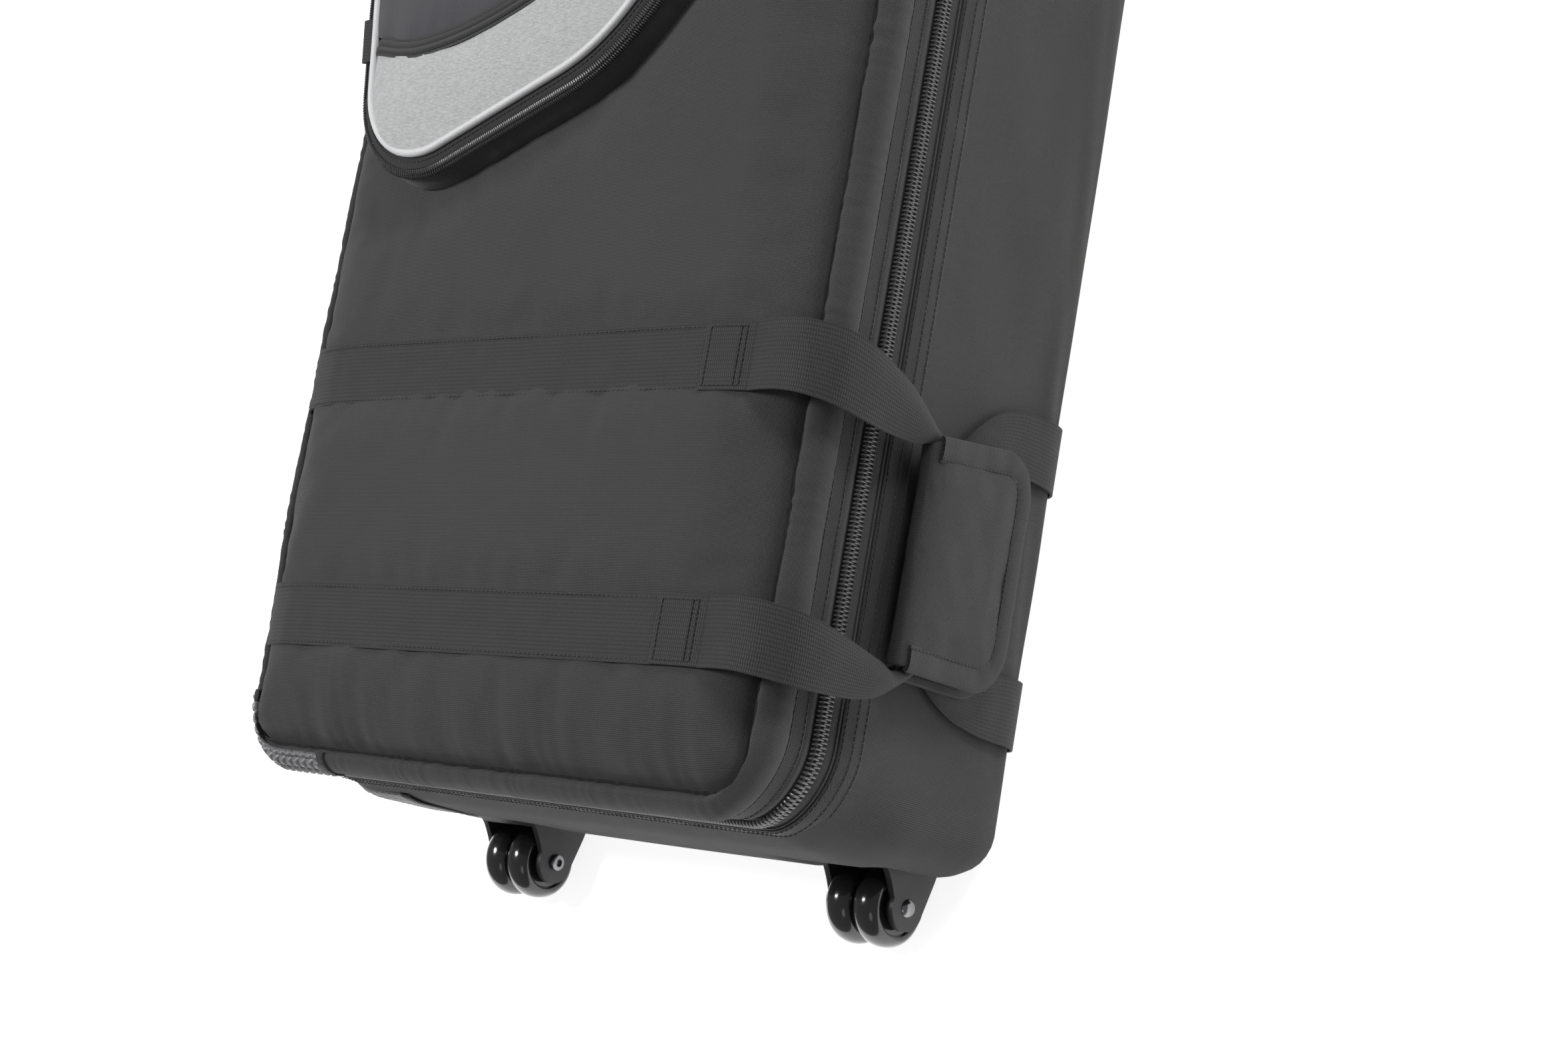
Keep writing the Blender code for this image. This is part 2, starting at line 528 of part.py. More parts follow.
def build_pocket():
    """Flared wall and zipper half on the lid; piped cover in two fabrics that opens."""
    path = stations(POCKET)
    open_path = path[1:-1]
    cover = pivot("pocket_pivot", POCKET_HINGE, lid)
    floor = LID_TOP_Z + GAP
    sweep("pocket_wall", path, [(-0.0140, floor), (-0.0110, 0.2400), (-0.0100, 0.2440), (-0.0085, 0.2440),
                                (-0.0095, 0.2400), (-0.0125, floor)], lid, shell_cloth, True)
    sweep("pocket_zip_fixed", open_path, [(-0.0105, 0.2443), (-0.0105, 0.2462), (-0.0095, 0.2472),
                                          (-0.0066, 0.2472), (-0.0066, 0.2443)], lid, coil_nylon, False)
    sweep("pocket_zip_cover", open_path, [(-0.0090, 0.2475), (-0.0085, 0.2494), (-0.0075, 0.2504),
                                          (-0.0042, 0.2504), (-0.0042, 0.2475)], cover, coil_nylon, False)
    sweep("pocket_tape", path, [(-0.0039, 0.2478), (-0.0039, 0.2494), (0.0022, 0.2502), (0.0022, 0.2486)],
          cover, tape_cloth, True)
    piping = [(a, b) for a, b in arc((0.0, 0.2523), 0.0018, 0, 315, 7)]
    sweep("pocket_piping", path, piping, cover, reflective, True)
    face_loops = [(0.0026, 0.2489), (0.0026, 0.2530), (0.0100, 0.2552), (0.0300, 0.2568), (0.0400, 0.2572)]
    lower_side = offset_curve(INNER_ZIP, -0.0055)
    upper_side = offset_curve(INNER_ZIP, 0.0055)
    for name, mat, edge, operation in (("pocket_face", heather, lower_side, "DIFFERENCE"),
                                       ("pocket_upper_panel", fleece, upper_side, "INTERSECT")):
        loops = [[(x - nx * d, y - ny * d, z) for x, y, nx, ny in path] for d, z in face_loops]
        panel = layers(name, loops, cover, mat)
        head_side = edge + [(1.2, -0.180), (1.2, 0.195)]
        boolean(panel, slab(f"tool_{name}", head_side, "z", 0.2300, 0.2700, cover, None), operation)
    strip = offset_curve(INNER_ZIP, -0.0052) + offset_curve(INNER_ZIP, 0.0052)[::-1]
    inner = slab("pocket_inner_zip", strip, "z", 0.2491, 0.2560, cover, coil_nylon)
    clip = [(x - nx * 0.0026, y - ny * 0.0026) for x, y, nx, ny in path]
    boolean(inner, slab("tool_inner_zip", clip, "z", 0.2300, 0.2700, cover, None), "INTERSECT")
    tab = [(0.4200, 0.1664), (0.4480, 0.1720), (0.4480, 0.1815), (0.4200, 0.1760)]
    slab("pocket_tab", tab, "z", 0.2507, 0.2523, cover, webbing)
    build_pocket_slider()


def build_pocket_slider():
    """Slider on the straight run of the pocket zipper, facing the zipper side of the bag."""
    spot = (POCKET_SLIDER_X, POCKET[3][1] - 0.0108, 0.2473)
    build_slider("pocket_slider", "pocket_pull", spot, (-1, 0, 0), (0, 0, 1), (0, -1, 0), lid,
                 (0.0110, 0.0042, 0.0024))


def build():
    """Every piece of the bag."""
    plate = build_base()
    wall = bpy.data.objects["base_wall"]
    build_wheel_set("right", -1, plate, wall)
    build_wheel_set("left", 1, plate, wall)
    build_lid()
    build_handles()
    outer = -(HALF_W - 0.0008)
    for number, (place, along) in enumerate(zip(SLIDERS_X, (-1, 1)), 1):
        build_slider(f"main_slider_{number}", f"main_pull_{number}", (place, outer, ZIP_Z), (along, 0, 0),
                     (0, 0, 1), (0, -1, 0), bag, (0.0120, 0.0062, 0.0028))
    build_pocket()


build()
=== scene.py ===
"""Looks of the padded snowboard bag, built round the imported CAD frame.

Everything is placed in bag coordinates (origin on the foot face, middle plane, floor level)
taken from the box of the CAD base wall. Metres.
"""
import json
import math

import bmesh
import bpy
import numpy as np
from mathutils import Matrix, Vector

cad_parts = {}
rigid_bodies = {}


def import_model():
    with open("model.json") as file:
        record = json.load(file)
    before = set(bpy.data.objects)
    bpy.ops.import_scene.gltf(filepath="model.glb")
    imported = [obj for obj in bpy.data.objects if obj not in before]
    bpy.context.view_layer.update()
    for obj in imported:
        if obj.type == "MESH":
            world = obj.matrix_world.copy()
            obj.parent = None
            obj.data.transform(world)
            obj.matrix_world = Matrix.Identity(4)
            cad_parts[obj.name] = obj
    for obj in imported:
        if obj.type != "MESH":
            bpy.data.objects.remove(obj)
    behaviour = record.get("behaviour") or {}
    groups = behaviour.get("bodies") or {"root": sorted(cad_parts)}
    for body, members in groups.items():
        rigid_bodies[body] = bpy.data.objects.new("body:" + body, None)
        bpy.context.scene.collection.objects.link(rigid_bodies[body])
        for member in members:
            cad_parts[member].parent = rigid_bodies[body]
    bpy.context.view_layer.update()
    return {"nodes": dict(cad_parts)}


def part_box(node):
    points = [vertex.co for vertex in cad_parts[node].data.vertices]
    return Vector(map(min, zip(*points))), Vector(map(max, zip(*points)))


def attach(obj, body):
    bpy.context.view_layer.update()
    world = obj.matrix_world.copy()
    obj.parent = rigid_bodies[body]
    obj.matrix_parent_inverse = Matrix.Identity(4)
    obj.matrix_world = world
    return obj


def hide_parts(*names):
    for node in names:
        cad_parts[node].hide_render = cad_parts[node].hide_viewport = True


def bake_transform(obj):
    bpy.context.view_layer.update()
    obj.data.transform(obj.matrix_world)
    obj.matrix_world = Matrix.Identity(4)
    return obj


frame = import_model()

# ---- dimensions shared with the CAD part ---------------------------------------------
WALL_LO, WALL_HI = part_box("base_wall")
ORIGIN = np.array([WALL_LO[0], (WALL_LO[1] + WALL_HI[1]) / 2, 0.0])
LENGTH = WALL_HI[0] - WALL_LO[0]
HALF_W = (WALL_HI[1] - WALL_LO[1]) / 2
CORNER_R = 0.036            # corners of the outline
SEAM_R = 0.013              # tighter corners of the lid's seam
ZIP_Z = 0.168               # middle of the main zipper
LINING_IN = 0.0175          # inset of the back panel and the lining
# height of the lid over the inset from its outline
CROWN = [(0.0095, 0.2115), (0.0120, 0.2165), (0.0200, 0.2215), (0.0320, 0.2262),
         (0.0450, 0.2290), (0.0650, 0.2305)]
WEB_W = 0.038
STRAP_X = (0.061, 0.208)
STRAPS = [*STRAP_X, *(LENGTH - WEB_W - x for x in reversed(STRAP_X))]
FREE_Y = -0.180             # where the front straps leave the lid
GRIP_X = (0.082, 0.206)
GRIP_Z = (0.060, 0.140)
GRIP_R = 0.024              # corners of the folded wrap
BRACKET_Y = 0.146
BRACKET_HALF = 0.0250
AXLE = (-0.034, 0.024)      # x, z
WHEEL_R = 0.0235
CREASE = math.radians(42)   # sharper edges than this are shaded as creases
POCKET_Z = 0.2527           # rim of the pocket face
POCKET_RISE = 0.0046        # how far the stuffed face rises over its rim
# corners of the pocket face with their radii, then the line of its inner zipper
POCKET = [(0.4700, 0.1735, 0.150), (0.3366, 0.1469, 0.055), (0.4047, -0.0367, 0.120),
          (0.5290, -0.1500, 0.055), (0.9500, -0.1500, 0.045), (0.9500, 0.1735, 0.045)]
INNER_ZIP = [(0.4360, 0.195), (0.4285, 0.157), (0.4235, 0.134), (0.4225, 0.110),
             (0.4280, 0.074), (0.4400, 0.034), (0.4600, -0.014), (0.4880, -0.062),
             (0.5230, -0.108), (0.5750, -0.180)]


# ---- materials -----------------------------------------------------------------------
class Paint:
    """A material under construction, with short calls for the nodes it uses."""

    def __init__(self, name, roughness, metallic=0.0, specular=0.5, sheen=0.0, coat=0.0):
        self.mat = bpy.data.materials.new(name)
        self.mat.use_nodes = True
        self.tree = self.mat.node_tree
        self.shader = self.tree.nodes["Principled BSDF"]
        for socket, value in (("Roughness", roughness), ("Metallic", metallic),
                              ("Specular IOR Level", specular), ("Sheen Weight", sheen),
                              ("Coat Weight", coat)):
            self.shader.inputs[socket].default_value = value
        self.shader.inputs["Sheen Roughness"].default_value = 0.5
        self.shader.inputs["Coat Roughness"].default_value = 0.08

    def put(self, node, socket, value):
        """Link an output or set a plain value."""
        if hasattr(value, "links"):
            self.tree.links.new(value, node.inputs[socket])
        else:
            node.inputs[socket].default_value = value

    def math(self, operation, *values):
        node = self.tree.nodes.new("ShaderNodeMath")
        node.operation = operation
        for i, value in enumerate(values):
            self.put(node, i, value)
        return node.outputs[0]

    def mul(self, a, b):
        return self.math("MULTIPLY", a, b)

    def add(self, a, b):
        return self.math("ADD", a, b)

    def size(self, value):
        return self.math("ABSOLUTE", value)

    def wave(self, value, pitch):
        """Sine whose zeros are one pitch apart."""
        return self.math("SINE", self.mul(value, math.pi / pitch))

    def uv(self):
        """Surface coordinates in metres: along, across."""
        split = self.tree.nodes.new("ShaderNodeSeparateXYZ")
        self.put(split, 0, self.tree.nodes.new("ShaderNodeUVMap").outputs[0])
        return split.outputs[0], split.outputs[1]

    def place(self):
        return self.tree.nodes.new("ShaderNodeTexCoord").outputs["Object"]

    def noise(self, scale, detail=2.0, vector=None, roughness=0.5):
        node = self.tree.nodes.new("ShaderNodeTexNoise")
        self.put(node, "Vector", self.place() if vector is None else vector)
        self.put(node, "Scale", scale)
        self.put(node, "Detail", detail)
        self.put(node, "Roughness", roughness)
        return node.outputs[0]

    def stretched(self, x, y, z):
        """Object coordinates scaled unevenly, for grain with a direction."""
        node = self.tree.nodes.new("ShaderNodeMapping")
        self.put(node, "Vector", self.place())
        node.inputs["Scale"].default_value = (x, y, z)
        return node.outputs[0]

    def mix(self, factor, low, high):
        node = self.tree.nodes.new("ShaderNodeMix")
        node.data_type = "RGBA"
        node.clamp_factor = True
        self.put(node, 0, factor)
        self.put(node, 6, (*low, 1.0) if isinstance(low, tuple) else low)
        self.put(node, 7, (*high, 1.0) if isinstance(high, tuple) else high)
        return node.outputs[2]

    def scaled(self, value, low, high):
        """Map 0..1 to low..high."""
        return self.math("MULTIPLY_ADD", value, high - low, low)

    def bump(self, height, distance, strength=1.0, after=None):
        node = self.tree.nodes.new("ShaderNodeBump")
        self.put(node, "Height", height)
        self.put(node, "Distance", distance)
        self.put(node, "Strength", strength)
        if after is not None:
            self.put(node, "Normal", after)
        return node.outputs[0]

    def finish(self, colour=None, normal=None, roughness=None):
        if colour is not None:
            self.put(self.shader, "Base Color", colour)
        if normal is not None:
            self.put(self.shader, "Normal", normal)
        if roughness is not None:
            self.put(self.shader, "Roughness", roughness)
        return self.mat


def tone(colour, factor):
    return tuple(c * factor for c in colour)


def weave_height(p, u, v, kind, pitch_u, pitch_v):
    """Height 0..1 of a woven surface, and a second value that tells its yarns apart."""
    if kind == "plain":
        su, sv = p.wave(u, pitch_u), p.wave(v, pitch_v)
        over = p.math("GREATER_THAN", p.mul(su, sv), 0.0)
        au, av = p.size(su), p.size(sv)
        warp, weft = p.mul(au, p.math("SQRT", av)), p.mul(av, p.math("SQRT", au))
        return p.add(p.mul(warp, over), p.mul(weft, p.math("SUBTRACT", 1.0, over))), over
    turn = math.pi / pitch_u
    if kind == "ribs":
        ridge = p.wave(v, pitch_v)
        across = p.size(ridge)
        shift = p.mul(p.math("GREATER_THAN", ridge, 0.0), math.pi / 2)
        along = p.size(p.math("SINE", p.add(p.mul(u, turn), p.mul(shift, 0.35))))
        return p.mul(p.math("SQRT", along), p.scaled(across, 0.55, 1.0)), across
    if kind == "twill":
        line = p.size(p.math("SINE", p.add(p.mul(u, turn), p.mul(v, math.pi / pitch_v))))
        return line, line
    # herringbone
    fold = p.math("PINGPONG", v, pitch_v)
    line = p.size(p.math("SINE", p.add(p.mul(u, turn), p.mul(fold, turn * 1.2))))
    edge = p.mul(p.wave(fold, pitch_v), 3.0)
    return p.mul(line, p.math("MINIMUM", p.add(edge, 0.45), 1.0)), line


def cloth(name, colour, kind, pitch, depth, contrast=0.35, roughness=0.85, sheen=0.15,
          mottle=0.12, fuzz=0.12, specular=0.3):
    """Woven material: yarns, fuzz, slow mottling and a fine bump."""
    p = Paint(name, roughness, specular=specular, sheen=sheen)
    u, v = p.uv()
    height, yarn = weave_height(p, u, v, kind, *pitch)
    shade = p.mul(p.scaled(height, 1 - contrast, 1 + contrast * 0.5), p.scaled(yarn, 0.93, 1.07))
    for scale, detail, swing in ((9, 4, mottle), (900, 2, fuzz * 2)):
        shade = p.mul(shade, p.scaled(p.noise(scale, detail), 1 - swing, 1 + swing))
    col = p.mix(p.mul(shade, 0.5), (0.0, 0.0, 0.0), tone(colour, 2.0))
    rough = p.scaled(p.noise(60, 3), roughness - 0.06, roughness + 0.06)
    soft = p.bump(p.noise(40, 3), 0.0006, 0.35)
    return p.finish(col, p.bump(height, depth, 0.8, soft), rough)


def plastic(name, colour, roughness, grain_scale, grain, coat=0.0, specular=0.5):
    """Moulded plastic: fine grain, faint scuffs that change the gloss."""
    p = Paint(name, roughness, specular=specular, coat=coat)
    scuff = p.noise(25, 5, roughness=0.7)
    col = p.mix(scuff, tone(colour, 0.8), tone(colour, 1.25))
    rough = p.scaled(p.noise(70, 4), roughness * 0.75, min(roughness * 1.3, 1.0))
    return p.finish(col, p.bump(p.noise(grain_scale, 2), grain, 0.5), rough)


def metal(name, colour, roughness, brushed):
    """Plated or enamelled metal with drawn or brushed grain."""
    p = Paint(name, roughness, metallic=1.0)
    grain = p.noise(1.0, 3, p.stretched(*brushed))
    col = p.mix(grain, tone(colour, 0.85), tone(colour, 1.12))
    rough = p.scaled(p.noise(120, 3), roughness * 0.75, roughness * 1.35)
    return p.finish(col, p.bump(grain, 0.00006, 0.4), rough)


def heather_cloth():
    """Melange knit: pale yarns with grey flecks drawn along the knit."""
    p = Paint("heather", 0.92, specular=0.2, sheen=0.25)
    u, v = p.uv()
    height, _ = weave_height(p, u, v, "plain", 0.0009, 0.0007)
    flecks = p.noise(1.0, 3, p.stretched(900, 260, 900), 0.65)
    slow = p.noise(14, 3)
    base = p.mix(p.scaled(flecks, -0.35, 1.35), (0.325, 0.335, 0.331), (0.600, 0.612, 0.606))
    col = p.mix(p.scaled(height, 0.30, -0.05), base, (0.20, 0.205, 0.205))
    col = p.mix(p.scaled(slow, 0.10, 0.0), col, (0.25, 0.26, 0.26))
    soft = p.bump(p.noise(45, 3), 0.0005, 0.4)
    return p.finish(col, p.bump(height, 0.00018, 0.7, soft))


def fleece_cloth():
    """Brushed dark fabric with a short nap."""
    p = Paint("fleece", 0.95, specular=0.15, sheen=0.45)
    nap = p.noise(1400, 3, roughness=0.7)
    slow = p.noise(22, 4)
    col = p.mix(p.scaled(nap, -0.2, 1.2), (0.022, 0.0215, 0.026), (0.060, 0.0585, 0.067))
    col = p.mix(p.scaled(slow, 0.0, 0.35), col, (0.030, 0.029, 0.035))
    return p.finish(col, p.bump(nap, 0.0003, 0.6, p.bump(slow, 0.0008, 0.3)))


SHELL = cloth("shell_oxford", (0.054, 0.0530, 0.0530), "plain", (0.00084, 0.00064), 0.00020,
              contrast=0.6, roughness=0.82, sheen=0.06)
SHELL_DARK = cloth("pocket_shell", (0.050, 0.050, 0.051), "plain", (0.0009, 0.0007), 0.00016)
LINING = cloth("lining", (0.040, 0.041, 0.044), "plain", (0.0006, 0.0006), 0.00010, roughness=0.7)
WEBBING = cloth("webbing_ribbed", (0.0255, 0.0255, 0.027), "ribs", (0.00135, 0.0021), 0.00035,
                contrast=0.8, roughness=0.68, sheen=0.05, mottle=0.06)
HERRINGBONE = cloth("herringbone_band", (0.018, 0.018, 0.019), "herringbone", (0.0013, 0.0052),
                    0.00030, contrast=0.55, roughness=0.70, mottle=0.06)
TWILL = cloth("twill_tape", (0.033, 0.033, 0.034), "twill", (0.0011, 0.0016), 0.00022,
              contrast=0.5, roughness=0.72, mottle=0.06)
BINDING = cloth("ribbed_binding", (0.025, 0.025, 0.026), "ribs", (0.0011, 0.0013), 0.00026,
                contrast=0.5, roughness=0.7, mottle=0.05)
# Near-black cloth for the lid's seam: painted shadow of the dark crease between the panel and the
# padded roll
SEAM_SHADOW = cloth("seam_shade", (0.0065, 0.0065, 0.007), "twill", (0.0009, 0.0012), 0.00010,
             roughness=0.95)
RIBBED_BAND = cloth("ribbed_band", (0.0175, 0.0175, 0.0185), "ribs", (0.0013, 0.0016), 0.00030,
                    contrast=0.8)
THREAD = cloth("thread", (0.034, 0.034, 0.036), "twill", (0.0006, 0.0006), 0.0001, roughness=0.6)
HEATHER = heather_cloth()
FLEECE = fleece_cloth()
PIPING = cloth("reflective_piping", (0.62, 0.62, 0.63), "plain", (0.0006, 0.0006), 0.00008,
               contrast=0.15, roughness=0.38, sheen=0.0, mottle=0.04, fuzz=0.05, specular=0.6)
COIL = plastic("coil_nylon", (0.078, 0.078, 0.082), 0.24, 900, 0.00005, specular=0.6)
RUBBER = plastic("guard_rubber", (0.125, 0.125, 0.130), 0.42, 1300, 0.00012)
BRACKET = plastic("bracket_plastic", (0.024, 0.024, 0.026), 0.44, 1100, 0.00006)
WHEEL = plastic("wheel_gloss", (0.014, 0.014, 0.015), 0.16, 300, 0.00002, coat=0.6, specular=0.6)
HAUL = plastic("haul_rubber", (0.026, 0.026, 0.028), 0.55, 1200, 0.00010)
BOARD = plastic("board_sheet", (0.050, 0.050, 0.053), 0.60, 500, 0.00012)
STEEL = metal("plated_steel", (0.27, 0.27, 0.28), 0.22, (40, 40, 900))
DARK_METAL = metal("black_enamel", (0.075, 0.075, 0.080), 0.34, (600, 60, 600))


# ---- mesh helpers -------------------------------------------------------------------
def points_of(obj):
    """Vertex positions in bag coordinates."""
    return np.array([v.co for v in obj.data.vertices]) - ORIGIN


def move_to(obj, co):
    """Put the vertices at bag coordinates."""
    obj.data.vertices.foreach_set("co", (co + ORIGIN).astype(np.float32).ravel())
    return obj


def run_length(points, closed=False):
    """Distance travelled at each point of a line, and back at the first if it is closed."""
    points = np.asarray(points, float)
    if closed:
        points = np.vstack([points, points[:1]])
    return np.concatenate([[0], np.cumsum(np.linalg.norm(np.diff(points, axis=0), axis=1))])


def directions(points):
    """Unit tangents of a line of points."""
    run = np.gradient(np.asarray(points, float), axis=0)
    return run / np.linalg.norm(run, axis=1)[:, None]


def oval(inset, z, wide, high, count=8):
    """Closed profile for a cord."""
    return [(inset + wide * math.cos(a), z + high * math.sin(a))
            for a in np.linspace(0, math.tau, count + 1)[:-1]]


def make(name, verts, faces, mat, uvs=None, smooth=True):
    """One object in world space from bag coordinates; uvs holds one pair per face corner."""
    mesh = bpy.data.meshes.new(name)
    mesh.from_pydata((np.asarray(verts) + ORIGIN).tolist(), [], faces)
    mesh.materials.append(mat)
    layer = mesh.uv_layers.new(name="UVMap")
    if uvs is not None:
        layer.data.foreach_set("uv", np.asarray(uvs, np.float32).ravel())
    mesh.update()
    obj = bpy.data.objects.new(name, mesh)
    bpy.context.collection.objects.link(obj)
    return shut(obj) if smooth else obj


def shut(obj):
    """Smooth shading with creases kept."""
    obj.data.shade_smooth()
    obj.data.set_sharp_from_angle(angle=CREASE)
    return obj


def face_up(obj, merge=0.0):
    """Make the face normals agree and point outwards; join vertices nearer than merge."""
    work = bmesh.new()
    work.from_mesh(obj.data)
    if merge:
        bmesh.ops.remove_doubles(work, verts=work.verts, dist=merge)
    bmesh.ops.recalc_face_normals(work, faces=work.faces)
    work.to_mesh(obj.data)
    work.free()
    return obj


def grid(name, points, mat, wrap_u=False, wrap_v=False, lengths=None, caps=False):
    """Quads over points[i][j]; UVs run in metres along i and j."""
    points = np.asarray(points, float)
    n, m = points.shape[:2]
    u, v = lengths or (run_length(points[:, m // 2], True), run_length(points[n // 2], True))
    i = np.arange(n if wrap_u else n - 1)
    j = np.arange(m if wrap_v else m - 1)
    ii, jj = (a.ravel() for a in np.meshgrid(i, j, indexing="ij"))
    i1, j1 = (ii + 1) % n, (jj + 1) % m
    faces = np.stack([ii * m + jj, i1 * m + jj, i1 * m + j1, ii * m + j1], 1).tolist()
    uvs = np.stack([np.stack([u[ii], v[jj]], 1), np.stack([u[ii + 1], v[jj]], 1),
                    np.stack([u[ii + 1], v[jj + 1]], 1), np.stack([u[ii], v[jj + 1]], 1)], 1)
    uvs = uvs.reshape(-1, 2)
    if caps:
        for row, base in ((list(range(m)), 0), (list(range(m))[::-1], (n - 1) * m)):
            faces.append([base + k for k in row])
            uvs = np.concatenate([uvs, np.stack([np.zeros(m), v[row]], 1)])
    obj = make(name, points.reshape(-1, 3), faces, mat, uvs)
    return face_up(obj) if (wrap_v and (wrap_u or caps)) else obj


def ring(corners, step=0.004, turns=14):
    """Stations x, y, nx, ny, s round a polygon with rounded corners."""
    path = []
    count = len(corners)
    for i in range(count):
        here = Vector(corners[i][:2])
        before = (Vector(corners[i - 1][:2]) - here).normalized()
        after = (Vector(corners[(i + 1) % count][:2]) - here).normalized()
        half, radius = before.angle(after) / 2, corners[i][2]
        centre = here + (before + after).normalized() * (radius / math.sin(half))
        first = here + before * (radius / math.tan(half)) - centre
        last = here + after * (radius / math.tan(half)) - centre
        start = math.atan2(first.y, first.x)
        turn = (math.atan2(last.y, last.x) - start + math.pi) % math.tau - math.pi
        arc = []
        for k in range(turns + 1):
            a = start + turn * k / turns
            arc.append((centre.x + radius * math.cos(a), centre.y + radius * math.sin(a),
                        math.cos(a), math.sin(a)))
        if path:
            path += between(path[-1], arc[0], step)
        path += arc
    path += between(path[-1], path[0], step)
    path = np.array(path)
    s = run_length(path[:, :2], True)
    return np.column_stack([path, s[:-1]]), s[-1]


def between(a, b, step):
    """Stations strictly between two of the same normal."""
    a, b = np.array(a), np.array(b)
    count = int(np.linalg.norm(a[:2] - b[:2]) / step)
    return [tuple(a + (b - a) * k / count) for k in range(1, count)]


def stretch_of(path, first, last):
    """The stations between two arc lengths."""
    return path[(path[:, 4] >= first) & (path[:, 4] <= last)]


BAG = [(0.0, HALF_W, CORNER_R), (0.0, -HALF_W, CORNER_R), (LENGTH, -HALF_W, CORNER_R),
       (LENGTH, HALF_W, CORNER_R)]
ROUND, GIRTH = ring(BAG)
FINE_ROUND, FINE_GIRTH = ring(BAG, 0.0017, 36)
POCKET_ROUND, POCKET_GIRTH = ring(POCKET, 0.004, 16)
CORNER_ARC = CORNER_R * math.pi / 2
ZIP_FROM = CORNER_ARC * 0.30
ZIP_TO = GIRTH - (LENGTH - 2 * CORNER_R) - CORNER_ARC * 0.30
ZIP_PATH = stretch_of(ROUND, ZIP_FROM, ZIP_TO)


def spline(rows, count):
    """Catmull-Rom curve through rows of numbers, with count points."""
    rows = np.asarray(rows, float)
    ext = np.vstack([2 * rows[0] - rows[1], rows, 2 * rows[-1] - rows[-2]])
    t = np.linspace(0, len(rows) - 1 - 1e-9, count)
    k = t.astype(int)
    f = (t - k)[:, None]
    a, b, c, d = ext[k], ext[k + 1], ext[k + 2], ext[k + 3]
    return 0.5 * (2 * b + (c - a) * f + (2 * a - 5 * b + 4 * c - d) * f ** 2
                  + (3 * b - a - 3 * c + d) * f ** 3)


def corner_reach(nx, ny, side, radius):
    """From the point that lies `side` inside both edges, how far along (nx, ny) an outline is
    that turns its corner in `radius`."""
    nx, ny = abs(nx), abs(ny)
    lean = np.arctan2(np.minimum(nx, ny), np.maximum(nx, ny))
    offset = side - radius
    straight = side / np.cos(lean)
    both = offset * (np.cos(lean) + np.sin(lean))
    turned = both + np.sqrt(np.maximum(both ** 2 - 2 * offset ** 2 + radius ** 2, 0))
    return np.where(straight * np.sin(lean) <= offset, straight, turned)


def tightened(inset, nx, ny):
    """Insets of the lid's rim in a corner, where the seam turns in a smaller radius."""
    width = CROWN[0][0]
    share = (CORNER_R - corner_reach(nx, ny, CORNER_R - width, SEAM_R)) / width
    return inset * (1 - (1 - share) * np.clip(inset / width, 0, 1))


def sweep(name, path, profile, mat, girth=None, closed=True, push=None, tight=False):
    """Carry a profile of (inset, z) along stations; girth closes the path on itself.

    push(s, t) is an outward displacement in metres, t running 0..1 along the profile.
    """
    prof = np.asarray(profile, float)
    m = len(prof)
    nxt = np.roll(prof, -1, 0) if closed else np.vstack([prof[1:], 2 * prof[-1:] - prof[-2:-1]])
    prv = np.roll(prof, 1, 0) if closed else np.vstack([2 * prof[:1] - prof[1:2], prof[:-1]])
    tangent = nxt - prv
    normal = np.column_stack([-tangent[:, 1], tangent[:, 0]])
    normal /= np.linalg.norm(normal, axis=1)[:, None] + 1e-12
    if closed:
        area = np.sum(prof[:, 0] * np.roll(prof[:, 1], -1) - prof[:, 1] * np.roll(prof[:, 0], -1))
        if area > 0:
            normal = -normal
    elif normal[m // 2, 0] > 0:
        normal = -normal
    v = run_length(prof, True)
    s = path[:, 4]
    inset = np.repeat(prof[None, :, 0], len(path), 0)
    z = np.repeat(prof[None, :, 1], len(path), 0)
    if push is not None:
        amount = push(s[:, None], (v[:m] / v[m - 1 + bool(closed)])[None, :])
        inset = inset + amount * normal[None, :, 0]
        z = z + amount * normal[None, :, 1]
    if tight:
        inset = tightened(inset, path[:, 2, None], path[:, 3, None])
    x = path[:, 0, None] - path[:, 2, None] * inset
    y = path[:, 1, None] - path[:, 3, None] * inset
    u = np.append(s, girth if girth else s[-1])
    return grid(name, np.stack([x, y, z], 2), mat, bool(girth), closed, (u, v),
                caps=closed and not girth)


def at(path, girth, s):
    """x, y, nx, ny at arc lengths s."""
    s = np.asarray(s) % girth
    full = np.append(path[:, 4], girth)
    rows = [np.interp(s, full, np.append(path[:, k], path[0, k])) for k in range(4)]
    length = np.hypot(rows[2], rows[3])
    return rows[0], rows[1], rows[2] / length, rows[3] / length


def stamp(name, template, centres, axes, mat):
    """Copies of a small template (verts, faces) at centres with 3x3 axes as rows."""
    verts, faces = template
    verts = np.asarray(verts, float)
    placed = centres[:, None, :] + np.einsum("kj,njc->nkc", verts, axes)
    size = len(verts)
    every = [[i + n * size for i in face] for n in range(len(centres)) for face in faces]
    corner_uv = np.concatenate([verts[list(face)][:, :2] for face in faces])
    return make(name, placed.reshape(-1, 3), every, mat, np.tile(corner_uv, (len(centres), 1)))


def tube_template(points, radius, sides=5):
    """Capped tube through points (x, y, z), for stamping; x is the run of the row."""
    points = np.asarray(points, float)
    side = np.eye(3)[np.argmin(np.ptp(points, axis=0))]
    verts, faces = [], []
    for point, run in zip(points, directions(points)):
        a = side - run * side.dot(run)
        a /= np.linalg.norm(a)
        b = np.cross(run, a)
        for k in range(sides):
            t = math.tau * k / sides
            verts.append(point + (a * math.cos(t) + b * math.sin(t)) * radius)
    for i in range(len(points) - 1):
        for k in range(sides):
            n = (k + 1) % sides
            faces.append((i * sides + k, i * sides + n, (i + 1) * sides + n, (i + 1) * sides + k))
    faces += [tuple(range(sides))[::-1], tuple(len(verts) - sides + k for k in range(sides))]
    return verts, faces


